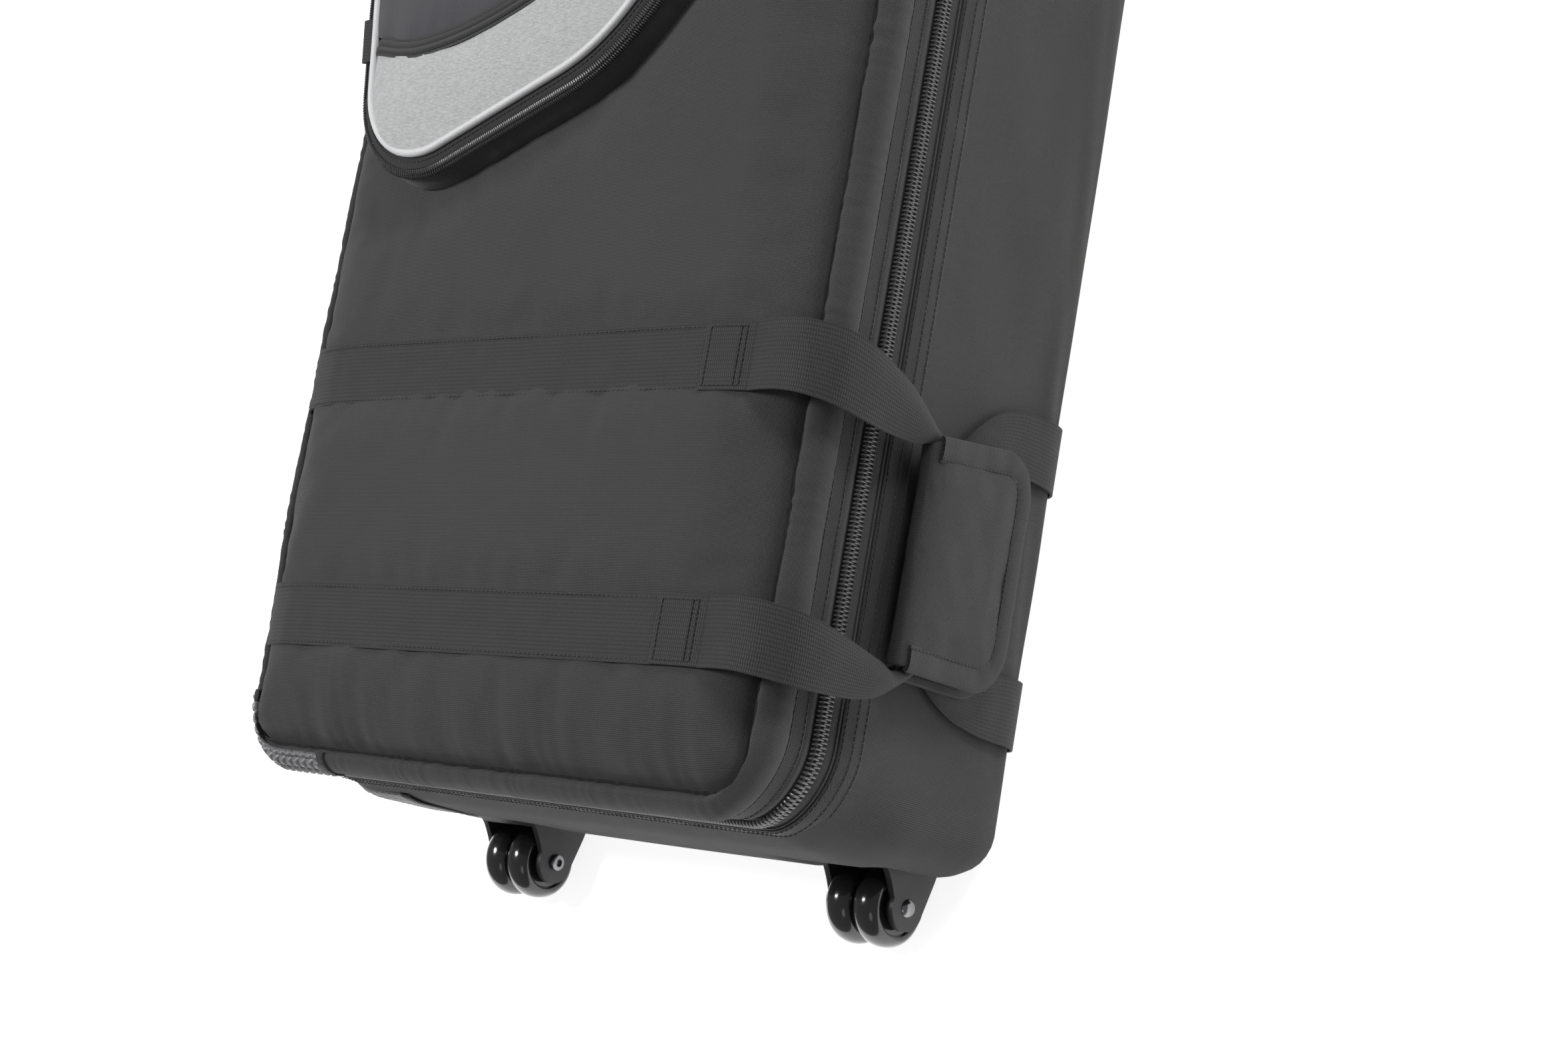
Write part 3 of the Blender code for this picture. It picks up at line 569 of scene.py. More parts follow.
STITCH = tube_template([(-0.0013, 0, -0.0004), (-0.0009, 0, 0.0001), (0, 0, 0.00028),
                        (0.0009, 0, 0.0001), (0.0013, 0, -0.0004)], 0.00032)


def sampled(rows, s, spots):
    """Rows of numbers given at s, read at spots."""
    return np.stack([np.interp(spots, s, rows[:, k]) for k in range(rows.shape[1])], 1)


def stitches(name, points, normals, body, pitch=0.0034):
    """A row of short threads along a line; normals is one direction or one for each point."""
    points = np.asarray(points, float)
    normals = np.broadcast_to(np.asarray(normals, float), points.shape)
    s = run_length(points)
    spots = np.arange(pitch / 2, s[-1], pitch)
    centre = sampled(points, s, spots)
    t = sampled(points, s, spots + 0.0005) - sampled(points, s, spots - 0.0005)
    t /= np.linalg.norm(t, axis=1)[:, None] + 1e-12
    n = sampled(normals, s, spots)
    n -= t * np.sum(n * t, 1)[:, None]
    n /= np.linalg.norm(n, axis=1)[:, None] + 1e-12
    axes = np.stack([t, np.cross(n, t), n], 1)
    obj = stamp(name, STITCH, centre, axes, THREAD)
    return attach(obj, body)


def path_stitches(name, path, girth, first, last, inset, z, body, lean=0.0):
    """Stitches that follow the outline at an inset and height."""
    s = np.arange(first, last, 0.002)
    x, y, nx, ny = at(path, girth, s)
    points = np.stack([x - nx * inset, y - ny * inset, np.full_like(x, z)], 1)
    flat = math.cos(lean)
    normals = np.stack([nx * flat, ny * flat, np.full_like(x, math.sin(lean))], 1)
    return stitches(name, points, normals, body)


def wander(x, y, size, seed, count=7):
    """Smooth seeded noise, about -1 to 1, with features of a given size in metres."""
    rng = np.random.default_rng(seed)
    total = 0.0
    for _ in range(count):
        angle, phase = rng.uniform(0, math.tau, 2)
        wave = size * rng.uniform(0.7, 1.6)
        along = x * math.cos(angle) + y * math.sin(angle)
        total = total + np.sin(along * math.tau / wave + phase)
    return total / math.sqrt(count) * 0.8


def pucker(s, pitch, seed):
    """Irregular gathers along a seam, 0 to 1."""
    rng = np.random.default_rng(seed)
    a, b, c = rng.uniform(0, math.tau, 3)
    wave = np.sin(s * math.tau / pitch + 2.2 * np.sin(s * math.tau / (pitch * 5.3) + a)
                  + 1.1 * np.sin(s * math.tau / (pitch * 2.1) + b))
    strength = 0.6 + 0.4 * np.sin(s * math.tau / (pitch * 8.7) + c)
    return (0.5 + 0.5 * wave) * strength


def apply_all(obj):
    """Apply every modifier."""
    bpy.context.view_layer.update()
    graph = bpy.context.evaluated_depsgraph_get()
    mesh = bpy.data.meshes.new_from_object(obj.evaluated_get(graph), preserve_all_data_layers=True,
                                           depsgraph=graph)
    obj.modifiers.clear()
    obj.data = mesh
    return obj


def box_uv(obj):
    """UVs in metres from the two coordinates that each face mostly spans."""
    mesh = obj.data
    layer = mesh.uv_layers.get("UVMap") or mesh.uv_layers.new(name="UVMap")
    co = np.array([v.co for v in mesh.vertices])
    corner = np.array([loop.vertex_index for loop in mesh.loops])
    uv = np.zeros((len(corner), 2), np.float32)
    for poly in mesh.polygons:
        axis = max(range(3), key=lambda k: abs(poly.normal[k]))
        pick = [(1, 2), (0, 2), (0, 1)][axis]
        span = slice(poly.loop_start, poly.loop_start + poly.loop_total)
        uv[span] = co[corner[span]][:, pick]
    layer.data.foreach_set("uv", uv.ravel())
    return obj


def thick(obj, thickness, offset=0.0):
    """Give a sheet thickness: offset 0 to both sides, 1 along its normals, -1 against them."""
    step = obj.modifiers.new("thickness", "SOLIDIFY")
    step.thickness = thickness
    step.offset = offset
    return face_up(apply_all(obj))


def inflate(obj, frames, quality, mass, stiffness):
    """Blow a piece up by simulation; the vertices of a group named held stay."""
    sim = obj.modifiers.new("cloth", "CLOTH")
    rules = sim.settings
    rules.quality, rules.mass = quality, mass
    rules.tension_stiffness = rules.compression_stiffness = stiffness
    rules.use_pressure = True
    rules.uniform_pressure_force = 4.0
    rules.effector_weights.gravity = 0.0
    if "held" in obj.vertex_groups:
        rules.vertex_group_mass = "held"
        rules.bending_stiffness = 0.6
        rules.shrink_min = -0.012
    sim.point_cache.frame_start, sim.point_cache.frame_end = 1, frames
    for number in range(1, frames + 1):
        bpy.context.scene.frame_set(number)
    apply_all(obj)
    bpy.context.scene.frame_set(1)


def settle(obj, body, slot, *nodes, pad=None):
    """Ride and replaced CAD nodes of one piece; slot and pad are not used."""
    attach(obj, body)
    if nodes:
        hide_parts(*nodes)
    return obj


def eased(value):
    """Smooth step from 0 to 1."""
    value = np.clip(value, 0, 1)
    return value * value * (3 - 2 * value)


def hang_foot(obj, slack=0.0):
    """Let the foot end sag outwards as the padding hangs, held in low down by the brackets.

    slack is the further swell of the base's own foot face, whose corners are squarer too.
    The rim of the lid draws in a little at the hinge side's foot corner.
    """
    co = points_of(obj)
    x, y, z = co.T
    if slack:
        a, b = np.maximum(CORNER_R - x, 0), np.maximum(np.abs(y) - HALF_W + CORNER_R, 0)
        squarer = corner_reach(a, b, CORNER_R, 0.014) / CORNER_R - 1
        grow = np.where((a > 0) & (b > 0), squarer, 0)
        grow = grow * eased((0.132 - z) / 0.050)
        co[:, 0] -= a * grow
        co[:, 1] += np.sign(y) * b * grow
    reach = (0.0080 - 0.0130 * y) * eased((HALF_W + 0.014 - np.abs(y)) / 0.055)
    reach += slack * eased((0.160 - z) / 0.040) * eased((HALF_W + 0.016 - np.abs(y)) / 0.050)
    clamp = eased((0.046 - np.abs(np.abs(y) - BRACKET_Y)) / 0.018) * eased((0.080 - z) / 0.022)
    reach = reach * (1 - clamp) + np.minimum(reach, 0.0035) * clamp
    tuck = eased((0.160 - x) / 0.110) * eased((y - 0.130) / 0.080) * eased((z - 0.188) / 0.012)
    co[:, 0] -= reach * eased((0.055 - x) / 0.050)
    co[:, 1] -= 0.0065 * tuck
    move_to(obj, co)
    obj.data.update()


def hang_foot_pieces():
    """Hang every cloth piece that goes round the foot end, once all are made."""
    loose = ("base_", "lid_", "strap_", "back_panel_cloth", "floor_lining")
    for obj in bpy.context.scene.objects:
        own = obj.type == "MESH" and obj not in frame["nodes"].values()
        if own and obj.name.startswith(loose):
            swelling = obj.name.startswith(("base_shell", "base_pyramids"))
            hang_foot(obj, 0.0065 if swelling else 0.0)


# ---- base: padded shell, bands, zipper half -----------------------------------------
def build_base():
    outer = spline([(0.0006, 0.1560), (0.0, 0.1380), (-0.0006, 0.1100), (-0.0008, 0.0700),
                    (-0.0003, 0.0400), (0.0006, 0.0240), (0.0042, 0.0120), (0.0082, 0.0064),
                    (0.0118, 0.0034)], 44)
    prof = np.vstack([outer, [(0.0150, 0.0024), (0.0180, 0.0022), (0.0180, 0.0070),
                              (0.0124, 0.0085), (0.0085, 0.0150), (0.0055, 0.0250),
                              (0.0045, 0.0700), (0.0045, 0.1200), (0.0050, 0.1560)]])
    along = np.zeros((1, len(prof)))
    along[0, :len(outer)] = np.linspace(0, 1, len(outer))
    body = np.interp(along, [0, 0.18, 0.35, 0.75, 0.92, 1.0], [0, 0.1, 1.0, 0.9, 0.35, 0.0])

    def push(s, _):
        folds = wander(s * 0.30, along * 0.16, 0.026, 11) + 0.8 * wander(s, along * 0.16, 0.11, 12)
        return body * (0.0010 + 0.0007 * folds * (1 - 0.7 * eased((0.52 - s) / 0.06)))

    shell = sweep("base_shell", ROUND, prof, SHELL, GIRTH, True, push=push)
    settle(shell, "base", "shell_cloth", "base_wall", pad=0.4)

    limits = low, high, half, _ = rounded(LINING_IN, CORNER_R - LINING_IN)
    gx, gy = np.meshgrid(np.linspace(low, high, 200), np.linspace(-half, half, 56), indexing="ij")
    px, py = round_corner(gx, gy, *limits)
    edge = np.minimum(np.minimum(px - low, high - px), half - np.abs(py))
    sag = np.clip(edge / 0.03, 0, 1) * (0.6 + 0.4 * wander(px, py, 0.09, 31))
    for name, z, lift, mat, thickness, offset, node, pad in (
            ("back_panel_cloth", 0.0024, -0.0003, SHELL, 0.0044, 1.0, "back_panel", 0.2),
            ("floor_lining", 0.0114, 0.0012, LINING, 0.0030, -1.0, "stiffener_board", None)):
        sheet = grid(name, np.stack([px, py, z + lift * sag], 2), mat)
        settle(thick(sheet, thickness, offset), "base", "shell_cloth", node, pad=pad)

    band = spline([(0.0002, 0.1350), (-0.0011, 0.1356), (-0.0017, 0.1400), (-0.0019, 0.1452),
                   (-0.0017, 0.1505), (-0.0012, 0.1546), (0.0002, 0.1552)], 16)
    band = sweep("base_herringbone", ROUND, np.vstack([band, [(0.0007, 0.1545), (0.0007, 0.1357)]]),
                 HERRINGBONE, GIRTH, True,
                 push=lambda s, t: 0.00022 * wander(s, t * 0.02, 0.03, 14))
    settle(band, "base", "tape_cloth", "base_band")
    rows = ((-0.00175, 0.1375), (-0.0021, 0.1452), (-0.0017, 0.1532))
    for number, (inset, z) in enumerate(rows, 1):
        path_stitches(f"base_band_stitch_{number}", ROUND, GIRTH, 0.0, GIRTH, inset, z, "base")

    tape = spline([(0.0003, 0.1552), (0.0010, 0.1580), (0.0017, 0.1610), (0.0035, 0.1640),
                   (0.0044, 0.1677)], 10)
    tape = sweep("base_twill", ZIP_PATH, tape, TWILL, None, False)
    settle(thick(tape, 0.0009, -1.0), "base", "tape_cloth", "base_zip_tape")
    cord = sweep("base_cord", ZIP_PATH, oval(0.0004, 0.1562, 0.00085, 0.00085), TWILL)
    settle(cord, "base", "tape_cloth")

    guard("base_pyramids", ROUND, GIRTH, -0.017, CORNER_ARC + 0.036,
          [(0.0, 0.0265), (-0.0012, 0.0275), (-0.0014, 0.0800), (-0.0012, 0.1330), (0.0, 0.1342)],
          "base", "base_scuff_guard", pitch=0.0060, height=0.0012)


def rounded(inset, radius):
    """Limits of the outline drawn in by an inset: low x, high x, half width, corner radius."""
    return inset, LENGTH - inset, HALF_W - inset, radius


def round_corner(x, y, low, high, half, radius):
    """Bend the corner squares of a rectangle into quarter discs."""
    cx, cy = np.clip(x, low + radius, high - radius), np.clip(y, radius - half, half - radius)
    a, b = x - cx, y - cy
    shrink = np.maximum(np.abs(a), np.abs(b)) / np.maximum(np.hypot(a, b), 1e-12)
    scale = np.where((a != 0) & (b != 0), shrink, 1)
    return cx + a * scale, cy + b * scale


def edge_distance(x, y, low, high, half, radius):
    """Distance inwards from a rectangle with rounded corners."""
    cx, cy = np.clip(x, low + radius, high - radius), np.clip(y, radius - half, half - radius)
    straight = np.minimum(np.minimum(x - low, high - x), half - np.abs(y))
    return np.where((x != cx) & (y != cy), radius - np.hypot(x - cx, y - cy), straight)


def guard(name, path, girth, first, last, profile, body, node, pitch, height, tight=False):
    """Scuff guard: rubberised fabric pressed into pyramids, bound at both ends."""
    s = np.arange(first, last, pitch / 8)
    x, y, nx, ny = at(path, girth, s)
    prof = np.asarray(profile, float)
    seg = run_length(prof)
    t = np.arange(0, seg[-1], pitch / 8)
    flat = sampled(prof, seg, t)
    run = directions(flat)
    out = np.column_stack([-run[:, 1], run[:, 0]])
    tri_s, tri_t = (1 - np.abs((a / pitch) % 1.0 - 0.5) * 2 for a in (s, t))
    rise = np.minimum(np.minimum(tri_s[:, None], tri_t[None, :]) * 1.8, 0.9) * height
    rise = rise * np.minimum(np.minimum(t, seg[-1] - t) / 0.004, 1.0)[None, :]
    inset, z = (flat[None, :, k] + rise * out[None, :, k] for k in (0, 1))
    if tight:
        inset = tightened(inset, nx[:, None], ny[:, None])
    points = np.stack([x[:, None] - nx[:, None] * inset, y[:, None] - ny[:, None] * inset, z], 2)
    settle(thick(grid(name, points, RUBBER), 0.0008, -1.0), body, "guard_rubber", node)
    for end, spot in (("a", first + 0.0005), ("b", last - 0.0005)):
        steps = np.linspace(spot - 0.004, spot + 0.004, 5)
        bx, by, bnx, bny = at(path, girth, steps)
        lift = 0.0009 * np.sqrt(np.clip(1 - ((steps - spot) / 0.0045) ** 2, 0, 1)) + 0.0001
        inset, z = (flat[:, None, k] + out[:, None, k] * lift for k in (0, 1))
        strip = grid(f"{name}_binding_{end}", np.stack([bx - bnx * inset, by - bny * inset, z], 2),
                     BINDING)
        settle(thick(strip, 0.0008), body, "tape_cloth")


# ---- zippers ------------------------------------------------------------------------
def tooth(depth, reach, radius):
    """One coil turn: x along the zipper, y outwards from the bag, z towards the other half."""
    points = [(-0.0002, -depth * 0.35, 0.0), (0.0, depth * 0.45, reach * 0.10),
              (0.0001, depth * 0.95, reach * 0.30), (0.0001, depth, reach * 0.62),
              (0.0, depth * 0.75, reach * 0.92), (-0.0001, depth * 0.25, reach),
              (-0.0003, -depth * 0.25, reach * 0.85), (-0.0006, -depth * 0.45, reach * 0.35)]
    return tube_template(points, radius)


def coil(name, path, girth, first, last, inset, z, up, pitch, shape, body, node, shift):
    """Rows of teeth along an outline, standing from a tape edge towards the middle."""
    s = np.arange(first + shift, last, pitch)
    x, y, nx, ny = at(path, girth, s)
    centre = np.stack([x - nx * inset, y - ny * inset, np.full_like(x, z)], 1)
    out = np.stack([nx, ny, np.zeros_like(x)], 1)
    along = np.stack([-ny, nx, np.zeros_like(x)], 1)
    upward = np.zeros_like(out)
    upward[:, 2] = up
    obj = stamp(name, shape, centre, np.stack([along, out, upward], 1), COIL)
    settle(obj, body, "coil_nylon", node)


def build_main_zip():
    shape, pitch = tooth(0.0017, 0.0060, 0.00062), 0.0024
    for body, sign, shift in (("base", -1, 0.0), ("lid", 1, pitch / 2)):
        coil(f"{body}_teeth", ROUND, GIRTH, ZIP_FROM, ZIP_TO, 0.0008, ZIP_Z + sign * 0.0050, -sign,
             pitch, shape, body, f"{body}_zip_coil", shift)
    for body, sign in (("base", -1), ("lid", 1)):
        core = oval(0.0014, ZIP_Z + sign * 0.0031, 0.0007, 0.0011)
        settle(sweep(f"{body}_zip_core", ZIP_PATH, core, TWILL), body, "tape_cloth")
        path_stitches(f"{body}_zip_thread", ROUND, GIRTH, ZIP_FROM, ZIP_TO, -0.0004,
                      ZIP_Z + sign * 0.0034, body)


# ---- lid: simulated panel, puckered roll, bands -------------------------------------
def crown_z(inset):
    """Height of the lid at an inset from its outline."""
    return np.interp(inset, *np.transpose(CROWN))


def pocket_depth(x, y):
    """Distance inwards from the straight sides of the pocket face, negative outside."""
    best = np.full(np.shape(x), 1e9)
    for i in range(len(POCKET)):
        (ax, ay, _), (bx, by, _) = POCKET[i], POCKET[(i + 1) % len(POCKET)]
        run = Vector((bx - ax, by - ay)).normalized()
        best = np.minimum(best, run.x * (y - ay) - run.y * (x - ax))
    return best


def on_straps(x, y, grow, first_y):
    """Whether points lie on a front strap that is grown to both sides."""
    return np.any([(x > a - grow) & (x < a + WEB_W + grow) & (y > first_y) for a in STRAPS], axis=0)


def build_lid_panel():
    """Crowned panel: cloth inflated between its seam, the sewn straps and the pocket."""
    inset = CROWN[0][0]
    limits = low, high, half, _ = rounded(inset, SEAM_R)
    gx, gy = np.meshgrid(np.linspace(low, high, 212), np.linspace(-half, half, 56), indexing="ij")
    px, py = round_corner(gx, gy, *limits)
    rows = np.stack([px, py, crown_z(edge_distance(px, py, *limits) + inset)], 2)
    panel = grid("lid_cushion", rows, SHELL)
    verts = rows.reshape(-1, 3)
    x, y, rest = verts.T.copy()
    insets = edge_distance(x, y, *limits)
    held = ((insets < 0.001) | on_straps(x, y, -0.004, FREE_Y - 0.006)
            | (pocket_depth(x, y) >= -0.018))
    group = panel.vertex_groups.new(name="held")
    group.add([int(i) for i in np.nonzero(held)[0]], 1.0, "REPLACE")
    inflate(panel, 22, 6, 0.25, 18)
    co = points_of(panel)
    move = np.clip(co[:, 2] - rest, -0.0012, 0.0050)
    side = np.clip(co[:, :2] - verts[:, :2], -0.0015, 0.0015)
    fade = np.clip(insets / 0.014, 0, 1)
    verts[:, :2] += side * fade[:, None]
    verts[:, 2] = rest + move * fade
    move_to(panel, verts)
    smooth = panel.modifiers.new("finer", "SUBSURF")
    smooth.levels = smooth.render_levels = 1
    smooth.boundary_smooth = "PRESERVE_CORNERS"
    apply_all(panel)
    gather_panel(panel, limits)
    thick(panel, 0.0045, -1.0)
    settle(shut(box_uv(panel)), "lid", "shell_cloth", "lid_panel", pad=0.35)


def gather_panel(panel, limits):
    """Puckers along the seam and soft folds above the foot edge."""
    low, high, half, _ = limits
    co = points_of(panel)
    x, y = co[:, 0], co[:, 1]
    edge = edge_distance(x, y, *limits)
    on_ends = np.minimum(x - low, high - x) < half - np.abs(y)
    at_foot = eased((0.10 - x) / 0.05)
    deep = pucker(np.where(on_ends, y, x), 0.017, 5)
    deep = deep * np.exp(-edge / (0.009 + 0.010 * at_foot)) * np.clip(edge / 0.002, 0, 1)
    co[:, 2] -= (0.0021 + 0.0007 * at_foot) * deep
    co[:, 2] -= 0.0046 * np.exp(-edge / 0.0030)
    long_folds = np.exp(-np.maximum(x - low, 0) / 0.045) * np.clip(edge / 0.006, 0, 1)
    co[:, 2] += 0.0020 * long_folds * wander(y + 0.35 * x, x * 0.20, 0.046, 8)
    quiet = 1.0 - 0.85 * (pocket_depth(x, y) >= -0.02)
    quiet *= 1.0 - 0.9 * on_straps(x, y, 0.002, FREE_Y - 0.01)
    co[:, 2] += quiet * (0.00045 * wander(x, y, 0.16, 9) + 0.00018 * wander(x, y, 0.045, 10))
    move_to(panel, co)


def build_lid_rim():
    outer = spline([(0.0003, 0.1925), (-0.0016, 0.1955), (-0.0022, 0.2005), (-0.0010, 0.2058),
                    (0.0020, 0.2100), (0.0054, 0.2122), (0.0082, 0.2106), (0.0093, 0.2064)], 22)
    inner = spline([(0.0084, 0.2042), (0.0066, 0.2020), (0.0048, 0.1990), (0.0044, 0.1950)], 8)
    prof = np.vstack([outer, inner, [(0.0040, 0.1925)]])
    face = np.clip(np.arange(len(prof)) / (len(outer) - 1), 0, 1)[None, :]
    body = np.sin(face * math.pi) ** 0.7 * (np.arange(len(prof)) < len(outer))[None, :]

    def push(s, _):
        """Swell of the padded roll, gathered at both seams."""
        gather = (0.0022 * pucker(s, 0.024, 22) * np.exp(-(1 - face) / 0.25)
                  + 0.0014 * pucker(s, 0.0095, 26) * np.exp(-(1 - face) / 0.45)
                  + 0.0012 * pucker(s, 0.011, 23) * np.exp(-face / 0.25))
        return body * (0.0014 + 0.0004 * wander(s, face * 0.02, 0.06, 21) - gather)

    roll = sweep("lid_roll", FINE_ROUND, prof, SHELL, FINE_GIRTH, True, push=push, tight=True)
    settle(roll, "lid", "shell_cloth", "lid_wall", pad=0.6)
    # The near-black cord in the seam groove is painted shadow: it stands for the crease between the
    # panel and the roll
    cord = sweep("lid_seam_shadow", FINE_ROUND, oval(0.0094, 0.2092, 0.0014, 0.0010), SEAM_SHADOW,
                 FINE_GIRTH, True, tight=True, push=lambda s, t: 0.0006 * pucker(s, 0.0095, 27))
    settle(cord, "lid", "shell_cloth")

    band = spline([(0.0030, 0.1794), (0.0016, 0.1798), (0.0010, 0.1830), (0.0005, 0.1870),
                   (-0.0002, 0.1920), (-0.0005, 0.1943), (0.0, 0.1952)], 16)
    band = np.vstack([band, [(0.0012, 0.1945), (0.0028, 0.1860), (0.0038, 0.1800)]])
    band = sweep("lid_band", ROUND, band, RIBBED_BAND, GIRTH, True,
                 push=lambda s, t: 0.0002 * wander(s, t * 0.02, 0.03, 24))
    settle(band, "lid", "tape_cloth", "lid_binding")
    for number, (inset, z) in enumerate(((-0.0006, 0.1926), (0.0008, 0.1815)), 1):
        path_stitches(f"lid_band_stitch_{number}", ROUND, GIRTH, 0.0, GIRTH, inset, z, "lid")

    tape = spline([(0.0044, 0.1683), (0.0036, 0.1720), (0.0020, 0.1750), (0.0016, 0.1775),
                   (0.0028, 0.1800)], 10)
    tape = sweep("lid_twill", ZIP_PATH, tape, TWILL, None, False)
    settle(thick(tape, 0.0009, -1.0), "lid", "tape_cloth", "lid_zip_tape")

    guard("lid_pyramids", FINE_ROUND, FINE_GIRTH, 0.004, CORNER_ARC + 0.048,
          [(-0.0002, 0.1925), (-0.0026, 0.1955), (-0.0032, 0.2005), (-0.0020, 0.2062),
           (0.0008, 0.2106), (0.0048, 0.2131), (0.0072, 0.2122)], "lid", "lid_scuff_guard",
          pitch=0.0074, height=0.0022, tight=True)


def build_hinge():
    """Gusset of shell fabric that joins the two halves on the hinge side."""
    fold = spline([(0.0040, 0.1500), (0.0022, 0.1580), (0.0012, 0.1680), (0.0022, 0.1780),
                   (0.0044, 0.1860)], 14)
    run = np.linspace(ZIP_TO - 0.004, GIRTH + ZIP_FROM + 0.004, 230)
    x, y, nx, ny = (a[:, None] for a in at(ROUND, GIRTH, run))
    slack = 0.0006 * wander(x, 0.0, 0.06, 41)
    inset = fold[None, :, 0] - slack * np.sin(np.linspace(0, 1, 14) * math.pi)[None, :]
    z = np.broadcast_to(fold[None, :, 1], inset.shape)
    strip = thick(grid("hinge_gusset", np.stack([x - nx * inset, y - ny * inset, z], 2), SHELL),
                  0.0012)
    hang_foot(strip)
    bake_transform(strip)
    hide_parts("hinge_strip")


# ---- straps and handles -------------------------------------------------------------
def ribbon(name, rows, thickness=0.0016, count=64, width=WEB_W):
    """Webbing between two edges; rows hold left xyz, right xyz and the bow of the middle."""
    rows = spline(rows, count)
    across = 11
    t = np.linspace(0, 1, across)[None, :, None]
    left, right, bow = rows[:, None, :3], rows[:, None, 3:6], rows[:, None, 6:9]
    points = left + (right - left) * t + bow * 4 * t * (1 - t)
    u = run_length((rows[:, :3] + rows[:, 3:6]) / 2)
    lengths = np.append(u, u[-1]), np.linspace(0, width, across + 1)
    return shut(thick(grid(name, points, WEBBING, lengths=lengths), thickness))


def flat_rows(low_x, high_x, route):
    """Ribbon rows for webbing that runs straight across x, along (y, z) points."""
    return [(low_x, y, z, high_x, y, z, 0, 0, 0) for y, z in route]


def build_front_straps():
    lift = 0.0011

    def on_lid(y, rise):
        return crown_z(HALF_W - abs(y)) + rise

    for number, low_x in enumerate(STRAPS, 1):
        route = []
        for y in np.linspace(FREE_Y + 0.001, HALF_W - 0.0112, 46):
            dip = 0.00018 if HALF_W - abs(y) > 0.03 else 0.0
            ripple = 0.00025 * float(wander(y, low_x, 0.07, 50 + number))
            route.append((y, on_lid(y, lift) - dip + ripple))
        route.append((HALF_W - 0.0098, crown_z(0.0098) + 0.0002))
        strap = ribbon(f"lid_strap_{number}", flat_rows(low_x, low_x + WEB_W, route), count=120)
        settle(strap, "lid", "webbing", f"front_strap_{number}")
        fold = [(y, on_lid(y, lift + 0.0016))
                for y in np.linspace(FREE_Y + 0.032, FREE_Y + 0.001, 8)]
        end = fold[-1][1]
        fold += [(FREE_Y - 0.0008, end - 0.0006), (FREE_Y - 0.0002, end - 0.0022)]
        patch = ribbon(f"lid_strap_fold_{number}",
                       flat_rows(low_x + 0.0002, low_x + WEB_W - 0.0002, fold), count=30)
        settle(patch, "lid", "webbing")
        left, right = low_x + 0.0028, low_x + WEB_W - 0.0028
        near, far = FREE_Y + 0.0045, FREE_Y + 0.029
        corners = [(left, near), (right, near), (right, far), (left, far), (left, near),
                   (left, near + 0.0035), (right, near + 0.0035), (right, near)]
        box = []
        for (ax, ay), (bx, by) in zip(corners, corners[1:]):
            steps = max(2, int(math.hypot(bx - ax, by - ay) / 0.002))
            box += [(ax + (bx - ax) * k / steps, ay + (by - ay) * k / steps) for k in range(steps)]
        points = [(x, y, on_lid(y, lift + 0.0026)) for x, y in box]
        stitches(f"strap_box_{number}", points, (0, 0, 1), "lid", 0.0030)
        for side, x in (("low", low_x + 0.0022), ("high", low_x + WEB_W - 0.0022)):
            line = [(x, y, on_lid(y, lift + 0.0009))
                    for y in np.arange(FREE_Y + 0.035, HALF_W - 0.014, 0.002)]
            stitches(f"strap_edge_{number}_{side}", line, (0, 0, 1), "lid", 0.0036)


# webbing of the side handle and of the rear loop under it: y and z along each leg, then x of
# both edges for the leg that is further from the foot and for the nearer one, and its bow
FRONT_RUN = [(-0.1788, 0.2292), (-0.1920, 0.2316), (-0.2060, 0.2322), (-0.2190, 0.2288),
             (-0.2300, 0.2175), (-0.2352, 0.2010), (-0.2364, 0.1830), (-0.2364, 0.1660),
             (-0.2354, 0.1520), (-0.2336, 0.1410), (-0.2328, 0.1260)]
FRONT_FAR = (
    [0.208, 0.208, 0.2075, 0.206, 0.2035, 0.2005, 0.1985, 0.1985, 0.2000, 0.2030, 0.1960],
    [0.246, 0.246, 0.246, 0.2455, 0.2440, 0.2405, 0.2345, 0.2275, 0.2200, 0.2125, 0.2050])
FRONT_NEAR = (
    [0.061, 0.061, 0.0605, 0.0590, 0.0575, 0.0570, 0.0580, 0.0605, 0.0650, 0.0705, 0.0800],
    [0.099, 0.099, 0.0985, 0.0975, 0.0955, 0.0925, 0.0885, 0.0845, 0.0815, 0.0795, 0.0890])
FRONT_BOW = [0, 0, 0.0004, 0.0008, 0.001, 0.001, 0.002, 0.0035, 0.005, 0.005, 0.003]
REAR_RUN = [(-0.2020, 0.0010), (-0.2078, 0.0028), (-0.2158, 0.0110), (-0.2206, 0.0230),
            (-0.2222, 0.0400), (-0.2226, 0.0580), (-0.2226, 0.0760), (-0.2224, 0.0920),
            (-0.2220, 0.1060)]
REAR_FAR = ([0.208, 0.208, 0.208, 0.208, 0.2085, 0.2090, 0.2085, 0.2050, 0.1960],
            [0.246, 0.246, 0.246, 0.2458, 0.2450, 0.2430, 0.2370, 0.2240, 0.2080])
REAR_NEAR = ([0.061, 0.061, 0.061, 0.0610, 0.0610, 0.0625, 0.0660, 0.0730, 0.0820],
             [0.099, 0.099, 0.099, 0.0990, 0.0975, 0.0930, 0.0890, 0.0860, 0.0930])
REAR_BOW = [0, 0, 0, 0, 0.0004, 0.001, 0.0022, 0.0030, 0.002]


def leg_rows(run, edges, bows, flip):
    return [(flip(a), y, z, flip(b), y, z, 0, -bow, 0)
            for (y, z), a, b, bow in zip(run, *edges, bows)]


def askew(x, z):
    """The wrap is folded askew: its back edge runs out further at the far end."""
    share_x = np.clip((x - GRIP_X[0]) / (GRIP_X[1] - GRIP_X[0]), 0, 1.1)
    share_z = np.clip((GRIP_Z[1] - z) / (GRIP_Z[1] - GRIP_Z[0]), 0, 1.1)
    return x + 0.0095 * share_x * share_z


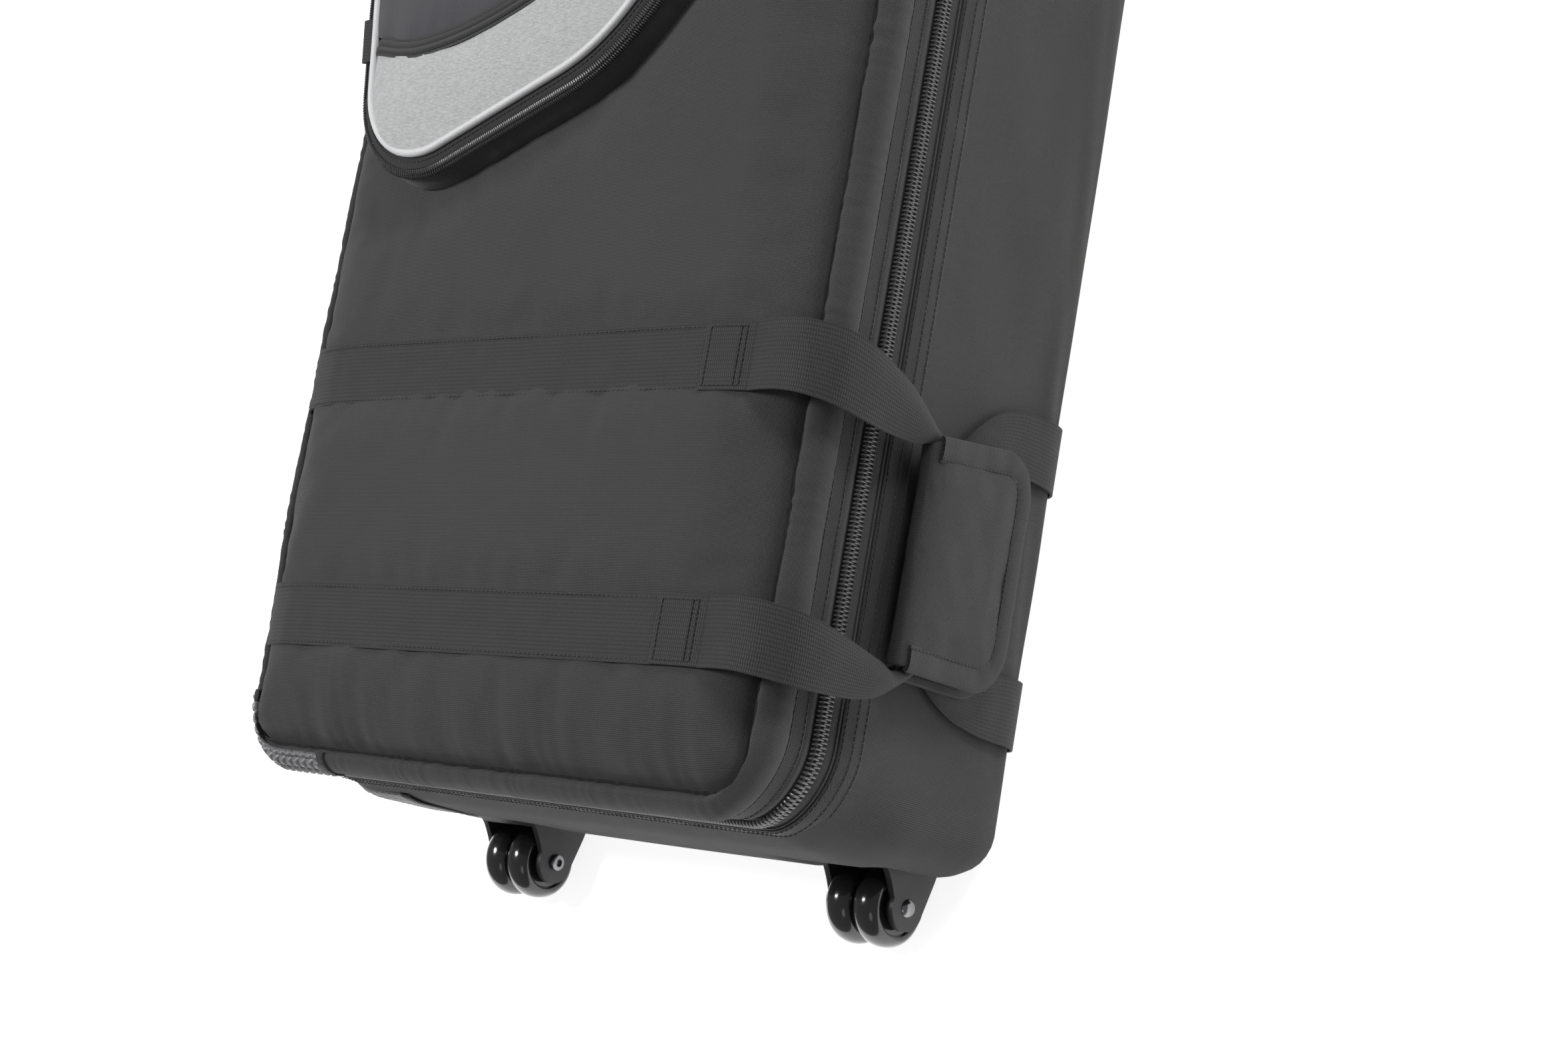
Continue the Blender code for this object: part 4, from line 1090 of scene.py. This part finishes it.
def build_grip_cloth(flip, name):
    """Padded wrap: one quilted sheet folded on the zipper side, inflated by simulation."""
    low, high = GRIP_X
    back, front = GRIP_Z[0] + 0.001, GRIP_Z[1] + 0.0005
    section = spline([(0.0, -0.2392), (0.25, -0.2400), (0.60, -0.2402), (0.88, -0.2396),
                      (0.985, -0.2362), (1.0, -0.2325), (0.985, -0.2290), (0.88, -0.2266),
                      (0.60, -0.2262), (0.25, -0.2262), (0.0, -0.2262)], 52)
    rows = []
    for x in np.linspace(low + 0.001, high - 0.001, 44):
        reach = min(x - low, high - x, GRIP_R)
        lift = GRIP_R - math.sqrt(GRIP_R ** 2 - (GRIP_R - reach) ** 2)
        wave = 0.0012 * float(wander(x, 0.0, 0.055, 61))
        row = []
        for k, (share, y) in enumerate(section):
            inner = 0.0045 * (1 - share) if k > len(section) // 2 else 0.0
            start = back + lift - inner
            row.append((x, y, start + (front + wave * share ** 3 - start) * share))
        rows.append(row)
    pad = thick(grid(name, rows, SHELL), 0.0030)
    mesh = pad.modifiers.new("even", "REMESH")
    mesh.mode, mesh.voxel_size = "VOXEL", 0.0016
    apply_all(pad)
    before = points_of(pad)
    inflate(pad, 12, 5, 0.2, 15)
    move = points_of(pad) - before
    size = np.linalg.norm(move, axis=1)[:, None] + 1e-9
    x, z = before[:, 0], before[:, 2]
    reach = np.minimum(np.minimum(x - low, high - x),
                       np.where(z < 0.5 * (back + front), z - back, 1.0))
    free = np.clip((reach - 0.010) / 0.014, 0, 1)[:, None]
    move_to(pad, before + move / size * np.minimum(size, 0.0022) * free)
    co = points_of(pad)
    x, z = co[:, 0].copy(), co[:, 2]
    ripple = 0.0005 * wander(x, z, 0.050, 62) + 0.00025 * wander(x, z, 0.022, 63)
    co[:, 1] -= np.where(co[:, 1] < -0.2325, 1, -0.3) * ripple
    co[:, 0] = flip(askew(x, z))
    return shut(box_uv(face_up(move_to(pad, co))))


def wrap_binding(name, flip, low, high, back, front, y, body):
    """Ribbed binding round three sides of one layer of the wrap."""
    radius = GRIP_R
    path = [(high, z) for z in np.linspace(front, back + radius, 20)]
    path += [(high - radius + radius * math.cos(a), back + radius - radius * math.sin(a))
             for a in np.linspace(0, math.pi / 2, 12)[1:]]
    path += [(x, back) for x in np.linspace(high - radius, low + radius, 24)[1:]]
    path += [(low + radius - radius * math.sin(a), back + radius - radius * math.cos(a))
             for a in np.linspace(0, math.pi / 2, 12)[1:]]
    path += [(low, z) for z in np.linspace(back + radius, front, 20)[1:]]
    run = directions(path)
    inward = np.column_stack([run[:, 1], -run[:, 0]])
    half = [(0.0128, 0.0012), (0.0110, 0.0022), (0.0070, 0.0026), (0.0020, 0.0025),
            (-0.0006, 0.0019)]
    profile = half + [(-0.0016, 0.0)] + [(a, -b) for a, b in reversed(half)]
    s = run_length(path)
    rows = []
    for (x, z), (ix, iz), along in zip(path, inward, s):
        ripple = 0.00025 * float(wander(along, 0.0, 0.02, 64))
        rows.append([(flip(askew(x + ix * a, z + iz * a)), y - b - ripple, z + iz * a)
                     for a, b in profile])
    lengths = np.append(s, s[-1]), np.append(run_length(profile), 0.06)
    band = grid(name, rows, BINDING, wrap_v=True, lengths=lengths, caps=True)
    settle(shut(band), body, "tape_cloth")
    line = [(flip(askew(x + ix * 0.0112, z + iz * 0.0112)), y - 0.0023, z + iz * 0.0112)
            for (x, z), (ix, iz) in zip(path, inward)]
    stitches(f"{name}_stitch", line, (0, -1, 0), body, 0.0030)


def sewn_leg(leg, bag, body, first_y, last_y, *nodes):
    """Webbing of a handle leg, baked where it lies, with the CAD nodes it replaces hidden; bag,
    body, first_y and last_y are not used.
    """
    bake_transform(leg)
    if nodes:
        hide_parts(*nodes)


def build_handles():
    for where, flip in (("foot", lambda x: x), ("head", lambda x: LENGTH - x)):
        body = f"{where}_handle"
        for label, edges in (("far", FRONT_FAR), ("near", FRONT_NEAR)):
            leg = ribbon(f"{where}_front_leg_{label}",
                         leg_rows(FRONT_RUN, edges, FRONT_BOW, flip), count=90)
            nodes = [f"{where}_front_loop"] if label == "far" else []
            sewn_leg(leg, "lid", body, -0.1795, -0.1960, *nodes)
        strand = [(flip(x), -0.2326, 0.086, flip(x), -0.2326, 0.124, 0, -0.001, 0)
                  for x in np.linspace(0.0800, 0.2080, 8)]
        settle(ribbon(f"{where}_front_strand", strand, count=30), body, "webbing")
        wrap = build_grip_cloth(flip, f"{where}_wrap")
        settle(wrap, body, "shell_cloth", f"{where}_grip", pad=0.5)
        (low, high), (back, front) = GRIP_X, GRIP_Z
        wrap_binding(f"{where}_wrap_binding", flip, low, high, back, front - 0.002, -0.2394, body)
        wrap_binding(f"{where}_wrap_lining_binding", flip, low - 0.0030, high, back - 0.0045,
                     front - 0.006, -0.2268, body)
        rear = f"{where}_rear_loop"
        for label, edges in (("far", REAR_FAR), ("near", REAR_NEAR)):
            leg = ribbon(f"{where}_rear_leg_{label}",
                         leg_rows(REAR_RUN, edges, REAR_BOW, flip), 0.0015, 80)
            sewn_leg(leg, "base", rear, -0.2070, -0.2175, *([rear] if label == "far" else []))
        strand = [(flip(x), -0.2219, 0.0780, flip(x), -0.2219, 0.1150, 0, 0, 0)
                  for x in np.linspace(0.0840, 0.2040, 8)]
        settle(ribbon(f"{where}_rear_strand", strand, 0.0014, 30), rear, "webbing")
    for number, low_x in enumerate(STRAPS, 1):
        route = [(y, 0.0011 + 0.00010 * math.sin(y * 90 + number))
                 for y in np.linspace(-0.2020, 0.2035, 60)]
        strap = ribbon(f"base_strap_{number}", flat_rows(low_x, low_x + WEB_W, route), count=120)
        settle(strap, "base", "webbing", f"back_strap_{number}")


def build_haul():
    x = LENGTH + 0.0060
    half, web, top, low = 0.075, 0.025, 0.1290, 0.0515
    route = [(top, 0.0, 0), (0.118, 0.0, 0.0006), (0.100, 0.0, 0.0012), (0.080, 0.001, 0.0016),
             (0.0660, 0.004, 0.0018), (0.0560, 0.010, 0.0012), (low, 0.018, 0.0004)]
    for label, side, nodes in (("low", -1, []), ("high", 1, ["haul_loop"])):
        outer, inner = side * half, side * (half - web)
        rows = [(x + out, outer - side * turn, z,
                 x + out, inner - side * turn * 0.6, z, 0.0008, 0, 0) for z, turn, out in route]
        leg = ribbon(f"haul_leg_{label}", rows, count=50, width=web)
        settle(leg, "haul_handle", "webbing", *nodes)
    end = [(0.0, 0.0500), (0.0040, 0.0500), (0.0054, 0.0490)]
    profile = [(r, -y) for r, y in end]
    for k in range(24):
        y = -0.0470 + 0.094 * k / 23
        profile += [(0.0056, y - 0.0012), (0.0049, y), (0.0056, y + 0.0012)]
    grip = lathe("haul_tube", profile + end[::-1], (x, low), HAUL, squash=(0.98, 2.1))
    settle(grip, "haul_handle", "black_plastic", "haul_grip")
    face = LENGTH + 0.0014
    rows = [(face, -half - 0.004, z, face, half + 0.004, z, 0.0012, 0, 0)
            for z in (0.1260, 0.1290, 0.1330, 0.1345)]
    settle(ribbon("haul_anchor", rows, count=20, width=0.16), "base", "webbing")


# ---- wheels -------------------------------------------------------------------------
def lathe(name, profile, centre, mat, segments=56, squash=(1.0, 1.0)):
    """Turn (radius, y) round the line along Y through centre (x, z)."""
    profile = np.asarray(profile, float)
    radius = np.maximum(profile[None, :, 0], 0.00001)
    angle = np.linspace(0, math.tau, segments, endpoint=False)[:, None]
    x = centre[0] + np.cos(angle) * radius * squash[0]
    z = centre[1] + np.sin(angle) * radius * squash[1]
    points = np.stack([x, np.broadcast_to(profile[None, :, 1], x.shape), z], 2)
    return shut(face_up(grid(name, points, mat, wrap_u=True), 0.00005))


def prism(name, outline, axis, low, high, mat):
    """Straight-sided solid on an outline of two coordinates."""
    place = {"y": lambda p, h: (p[0], h, p[1]), "z": lambda p, h: (p[0], p[1], h)}[axis]
    count = len(outline)
    verts = [place(p, h) for h in (low, high) for p in outline]
    faces = [list(range(count))[::-1], [count + k for k in range(count)]]
    faces += [(k, (k + 1) % count, count + (k + 1) % count, count + k) for k in range(count)]
    return face_up(make(name, verts, faces, mat, smooth=False))


def carve(obj, tool, operation="DIFFERENCE"):
    step = obj.modifiers.new("carve", "BOOLEAN")
    step.operation, step.solver, step.object = operation, "EXACT", tool
    apply_all(obj)
    bpy.data.objects.remove(tool, do_unlink=True)
    return obj


def bevel(obj, width, segments=3, angle=30):
    step = obj.modifiers.new("bevel", "BEVEL")
    step.width, step.segments, step.limit_method = width, segments, "ANGLE"
    step.angle_limit = math.radians(angle)
    return obj


def build_wheels():
    ax, az = AXLE
    nose = [(ax + 0.0132 * math.cos(a), az + 0.0132 * math.sin(a))
            for a in np.radians(np.linspace(72, 262, 34))]
    lip = spline([(-0.0034, 0.0960), (-0.0042, 0.0800), (-0.0056, 0.0660), (-0.0090, 0.0545),
                  (-0.0150, 0.0460), (-0.0226, 0.0405), nose[0]], 26)
    heel = spline([nose[-1], (-0.0240, 0.0068), (-0.0120, 0.0030), (-0.0002, 0.0020)], 10)
    outline = [(-0.0002, 0.1000), (-0.0030, 0.0988), *map(tuple, lip), *nose[1:-1],
               *map(tuple, heel)]
    for side, hand in (("right", -1), ("left", 1)):
        mid = hand * BRACKET_Y
        bracket = prism(f"bracket_{side}", outline, "y", mid - BRACKET_HALF, mid + BRACKET_HALF,
                        BRACKET)
        well = [(0.0, mid - 0.0210), (0.0292, mid - 0.0210), (0.0292, mid + 0.0210),
                (0.0, mid + 0.0210)]
        carve(bracket, lathe("well", well, AXLE, BRACKET, 72))
        bevel(bracket, 0.0011, 3)
        settle(shut(apply_all(bracket)), "base", "black_plastic", f"wheel_bracket_{side}")
        for label, sign in (("outer", hand), ("inner", -hand)):
            near, far = mid + sign * 0.0005, mid + sign * 0.0200
            step, centre = (far - near) / 10, (near + far) / 2
            tread = [(0.0036, near), (0.0100, near + 0.1 * step), (0.0172, near + 0.1 * step)]
            tread += [(WHEEL_R - 0.0065 + 0.0065 * math.sin(a),
                       centre - (far - near) / 2 * 0.97 * math.cos(a))
                      for a in np.linspace(0.15, math.pi - 0.15, 25)]
            tread += [(0.0166, far - 0.5 * step), (0.0158, far - 1.3 * step),
                      (0.0098, far - 1.3 * step), (0.0090, far - 0.2 * step), (0.0036, far)]
            wheel = lathe(f"roller_{side}_{label}", tread, AXLE, WHEEL, 72)
            settle(wheel, f"wheel_{side}_{label}", "wheel_plastic", f"wheel_{side}_{label}")
        # the bolt's domed head on the outer cheek, then the cap with its hex socket
        out, inn = mid + hand * 0.0252, mid - hand * 0.0252
        dome = [(r, out + hand * y) for r, y in (
            (0.0, 0.0029), (0.0018, 0.0028), (0.0036, 0.0021), (0.0048, 0.0010), (0.0053, 0.0),
            (0.0030, -0.0004), (0.0030, -0.0502), (0.0, -0.0502))]
        settle(lathe(f"rivet_{side}", dome, AXLE, STEEL, 40), "base", "steel", f"axle_bolt_{side}")
        head = [(r, inn - hand * y) for r, y in (
            (0.0, 0.0), (0.0052, 0.0), (0.0053, 0.0012), (0.0048, 0.0025), (0.0036, 0.0031),
            (0.0, 0.0031))]
        hole = [(r, inn - hand * y) for r, y in (
            (0.0, 0.0010), (0.0027, 0.0010), (0.0027, 0.0050), (0.0, 0.0050))]
        cap = lathe(f"hex_cap_{side}", head, AXLE, STEEL, 40)
        cap = carve(cap, lathe("socket", hole, AXLE, STEEL, 6))
        settle(shut(cap), "base", "steel", f"axle_cap_{side}")


# ---- pocket -------------------------------------------------------------------------
def shift_curve(points, distance):
    run = directions(points)
    return points + np.column_stack([-run[:, 1], run[:, 0]]) * distance


def rest_on_lid(obj):
    """Draw the foot of the pocket wall down to the lid where the lid's crown falls away."""
    co = points_of(obj)
    fall = CROWN[-1][1] - crown_z(HALF_W - np.abs(co[:, 1]))
    co[:, 2] -= fall * eased((0.2430 - co[:, 2]) / 0.010)
    return move_to(obj, co)


def stuffed(depth):
    """Rise of the stuffed face at a distance inwards from its rim."""
    return POCKET_RISE * (1 - np.exp(-np.clip(depth, 0, 1) / 0.020))


def face_crown(x, y, curve):
    """Height of the stuffed pocket face over its rim, gathered at the inner zipper."""
    near_zip = np.min(np.hypot(x[:, None] - curve[:, 0], y[:, None] - curve[:, 1]), axis=1)
    crown = stuffed(pocket_depth(x, y)) - 0.0011 * np.exp(-np.maximum(near_zip - 0.0045, 0) / 0.006)
    crown = crown + 0.00055 * wander(x, y, 0.085, 73) + 0.00020 * wander(x, y, 0.030, 74)
    gathers = pucker(y * 0.9, 0.024, 75) * np.exp(-np.maximum(near_zip - 0.005, 0) / 0.014)
    return crown + 0.0006 * gathers


def build_pocket():
    curve = spline(INNER_ZIP, 70)
    path, girth = POCKET_ROUND, POCKET_GIRTH
    wall = spline([(-0.0156, 0.2300), (-0.0154, 0.2330), (-0.0146, 0.2375), (-0.0136, 0.2410),
                   (-0.0126, 0.2442)], 18)
    prof = np.vstack([wall, [(-0.0100, 0.2442), (-0.0104, 0.2400), (-0.0120, 0.2360),
                             (-0.0134, 0.2308)]])
    outer = np.clip(np.arange(len(prof)) / (len(wall) - 1), 0, 1)[None, :]
    body = np.sin(outer * math.pi) * (np.arange(len(prof)) < len(wall))[None, :]

    def slack(s, _):
        folds = 0.0009 * wander(s, outer * 0.01, 0.045, 71) - 0.0007 * pucker(s, 0.021, 72)
        return body * (0.0006 + folds)

    gusset = sweep("pocket_gusset", path, prof, SHELL_DARK, girth, True, push=slack)
    settle(rest_on_lid(gusset), "lid", "shell_cloth", "pocket_wall", pad=0.3)
    rest_on_lid(path_stitches("pocket_foot_stitch", path, girth, 0.0, girth, -0.0152, 0.2316,
                              "lid", 0.9))

    # the zipper stops short of the hinge side
    on_hinge = (path[:, 3] > 0.99999) & (path[:, 4] > girth / 2)
    first, last = 0.012, path[on_hinge, 4].min() - 0.012
    open_path = stretch_of(path, first, last)
    shape, pitch = tooth(0.0019, 0.0031, 0.00052), 0.00155
    for label, body_name, sign, shift in (("fixed", "lid", 1, 0.0),
                                          ("cover", "pocket_cover", -1, pitch / 2)):
        coil(f"pocket_teeth_{label}", path, girth, first, last, -0.0110 - sign * 0.0008,
             0.24735 - sign * 0.0026, sign, pitch, shape, body_name, f"pocket_zip_{label}", shift)
    for name, body_name, z0, z1 in (("pocket_tape_low", "lid", 0.2438, 0.2464),
                                    ("pocket_tape_high", "pocket_cover", 0.2482, 0.2506)):
        strip = [(-0.0110, z0), (-0.0090, z0 + 0.0002), (-0.0068, z1 - 0.0002),
                 (-0.0066, z1 - 0.0012), (-0.0090, z0 - 0.0008)]
        settle(sweep(name, open_path, strip, TWILL), body_name, "tape_cloth")
    tape = spline([(-0.0088, 0.2494), (-0.0070, 0.2504), (-0.0040, 0.2508), (-0.0005, 0.2510),
                   (0.0024, 0.2512)], 12)
    tape = np.vstack([tape, [(0.0024, 0.2496), (-0.0030, 0.2488), (-0.0084, 0.2484)]])
    tape = sweep("pocket_twill", path, tape, HERRINGBONE, girth, True)
    settle(tape, "pocket_cover", "tape_cloth", "pocket_tape")
    path_stitches("pocket_twill_stitch", path, girth, 0.0, girth, -0.0050, 0.2510,
                  "pocket_cover", 1.4)
    bead = sweep("pocket_bead", path, oval(0.0, 0.2526, 0.0025, 0.0025, 14), PIPING, girth, True)
    settle(bead, "pocket_cover", "reflective", "pocket_piping")

    gx, gy = np.meshgrid(np.linspace(0.310, 0.980, 170), np.linspace(-0.172, 0.188, 90),
                         indexing="ij")
    rim = [(x - nx * 0.0016, y - ny * 0.0016) for x, y, nx, ny, _ in path]
    for name, mat, slot, shift, far_x, node in (
            ("pocket_heather", HEATHER, "heather", -0.0052, 0.2, "pocket_face"),
            ("pocket_fleece", FLEECE, "fleece", 0.0052, 1.2, "pocket_upper_panel")):
        flat = np.stack([gx, gy, np.full_like(gx, POCKET_Z)], 2)
        slab = thick(grid(name, flat, mat), 0.0032, -1.0)
        side = [*map(tuple, shift_curve(curve, shift)), (far_x, -0.180), (far_x, 0.195)]
        for outline in (rim, side):
            carve(slab, prism("cutter", outline, "z", 0.2300, 0.2800, mat), "INTERSECT")
        co = points_of(slab)
        co[:, 2] += face_crown(co[:, 0], co[:, 1], curve)
        settle(shut(box_uv(move_to(slab, co))), "pocket_cover", slot, node, pad=0.4)
    build_inner_zip(curve)
    lo, hi = (np.array(corner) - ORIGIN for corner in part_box("pocket_tab"))
    rise = 0.0058
    rows = [(lo[0], y, z, hi[0], y + rise, z, 0, 0, 0)
            for y, z in ((lo[1] - 0.004, 0.2520), (lo[1], 0.2524), (hi[1] - rise - 0.003, 0.2526),
                         (hi[1] - rise, 0.2519), (hi[1] - rise - 0.002, 0.2508), (lo[1], 0.2506))]
    tab = ribbon("pocket_tab_loop", rows, 0.0011, 30, 0.030)
    settle(tab, "pocket_cover", "webbing", "pocket_tab")


def build_inner_zip(curve):
    """Reverse-coil zipper set into the pocket face: two smooth tapes that meet at a line."""
    curve = curve[pocket_depth(*curve.T) > 0.003]
    lift = POCKET_Z + stuffed(pocket_depth(*curve.T)) - 0.0018
    for label, sign in (("low", -1), ("high", 1)):
        rows = []
        for share in np.linspace(0, 1, 9):
            arch = math.sin(min(share * 1.6, 1.0) * math.pi) ** 0.5 if share < 0.62 else 0.0
            edge = shift_curve(curve, sign * (0.00015 + 0.0062 * share))
            rows.append(np.column_stack([edge, lift + 0.0012 * arch + 0.0011]))
        strip = thick(grid(f"inner_zip_{label}", np.array(rows).transpose(1, 0, 2), TWILL), 0.0010)
        nodes = ("pocket_inner_zip",) if sign < 0 else ()
        settle(shut(strip), "pocket_cover", "tape_cloth", *nodes)
        line = np.column_stack([shift_curve(curve, sign * 0.0042), lift + 0.0019])
        stitches(f"inner_zip_stitch_{label}", line, (0, 0, 1), "pocket_cover", 0.0030)


# ---- carried-over CAD nodes ---------------------------------------------------------
def dress(node, mat, width=0.0004):
    """New material and softened edges for a CAD node that stays."""
    obj = frame["nodes"][node]
    obj.data.materials.clear()
    obj.data.materials.append(mat)
    bevel(obj, width, 2, 35)


def dress_frame():
    for side in ("right", "left"):
        for number in (1, 2):
            dress(f"bracket_screw_{side}_{number}", DARK_METAL, 0.0003)
    for number in (1, 2):
        dress(f"main_slider_{number}", DARK_METAL)
        dress(f"main_pull_{number}", DARK_METAL)
    dress("pocket_slider", DARK_METAL)
    dress("pocket_pull", DARK_METAL)
    dress("foot_end_plate", BOARD, 0.0005)


# ---- floor, light, camera -----------------------------------------------------------
def light(name, spot, target, size, power):
    data = bpy.data.lights.new(name, "AREA")
    data.shape, data.size, data.energy = "DISK", size, power
    lamp = bpy.data.objects.new(name, data)
    bpy.context.collection.objects.link(lamp)
    lamp.location = spot
    lamp.rotation_euler = (Vector(target) - Vector(spot)).to_track_quat("-Z", "Y").to_euler()


def build_stage():
    floor_paint = Paint("floor", 0.9, specular=0.1)
    grey = floor_paint.mix(floor_paint.noise(2.0, 2), (0.86, 0.86, 0.86), (0.88, 0.88, 0.88))
    floor_paint.finish(grey)
    floor_paint.shader.inputs["Emission Color"].default_value = (1, 1, 1, 1)
    floor_paint.shader.inputs["Emission Strength"].default_value = 0.82
    floor = bpy.data.meshes.new("floor")
    floor.from_pydata([(-60, -60, 0), (60, -60, 0), (60, 60, 0), (-60, 60, 0)], [], [(0, 1, 2, 3)])
    floor.materials.append(floor_paint.mat)
    ground = bpy.data.objects.new("floor", floor)
    bpy.context.collection.objects.link(ground)
    ground.location.z = -0.0005
    world = bpy.data.worlds.new("studio")
    world.use_nodes = True
    world.node_tree.nodes["Background"].inputs["Color"].default_value = (1, 1, 1, 1)
    world.node_tree.nodes["Background"].inputs["Strength"].default_value = 0.22
    bpy.context.scene.world = world
    aim = ORIGIN + (0.25, -0.10, 0.15)
    light("key", aim + np.array((0.30, 1.6, 3.1)), aim, 0.9, 102)
    light("side", aim + np.array((2.6, -2.3, 1.3)), aim, 1.2, 58)
    light("front", aim + np.array((-2.2, -1.2, 2.4)), aim, 1.2, 3)


def build_camera():
    data = bpy.data.cameras.new("camera")
    data.lens, data.sensor_width = 64.8, 36.0
    cam = bpy.data.objects.new("camera", data)
    bpy.context.collection.objects.link(cam)
    right = Vector((0.16825, -0.72982, -0.66261)).normalized()
    down = Vector((-0.97070, -0.00568, -0.24023))
    down = (down - right * right.dot(down)).normalized()
    ahead = right.cross(down)
    cam.matrix_world = Matrix.Translation(ORIGIN + (-0.1066, -1.1982, 1.2414)) @ Matrix(
        (right, -down, -ahead)).transposed().to_4x4()
    bpy.context.scene.camera = cam


bpy.context.scene.view_settings.view_transform = "Standard"
build_stage()
build_camera()
build_base()
build_main_zip()
build_lid_panel()
build_lid_rim()
build_hinge()
build_front_straps()
build_handles()
build_haul()
build_wheels()
build_pocket()
hang_foot_pieces()
dress_frame()

bpy.context.view_layer.update()
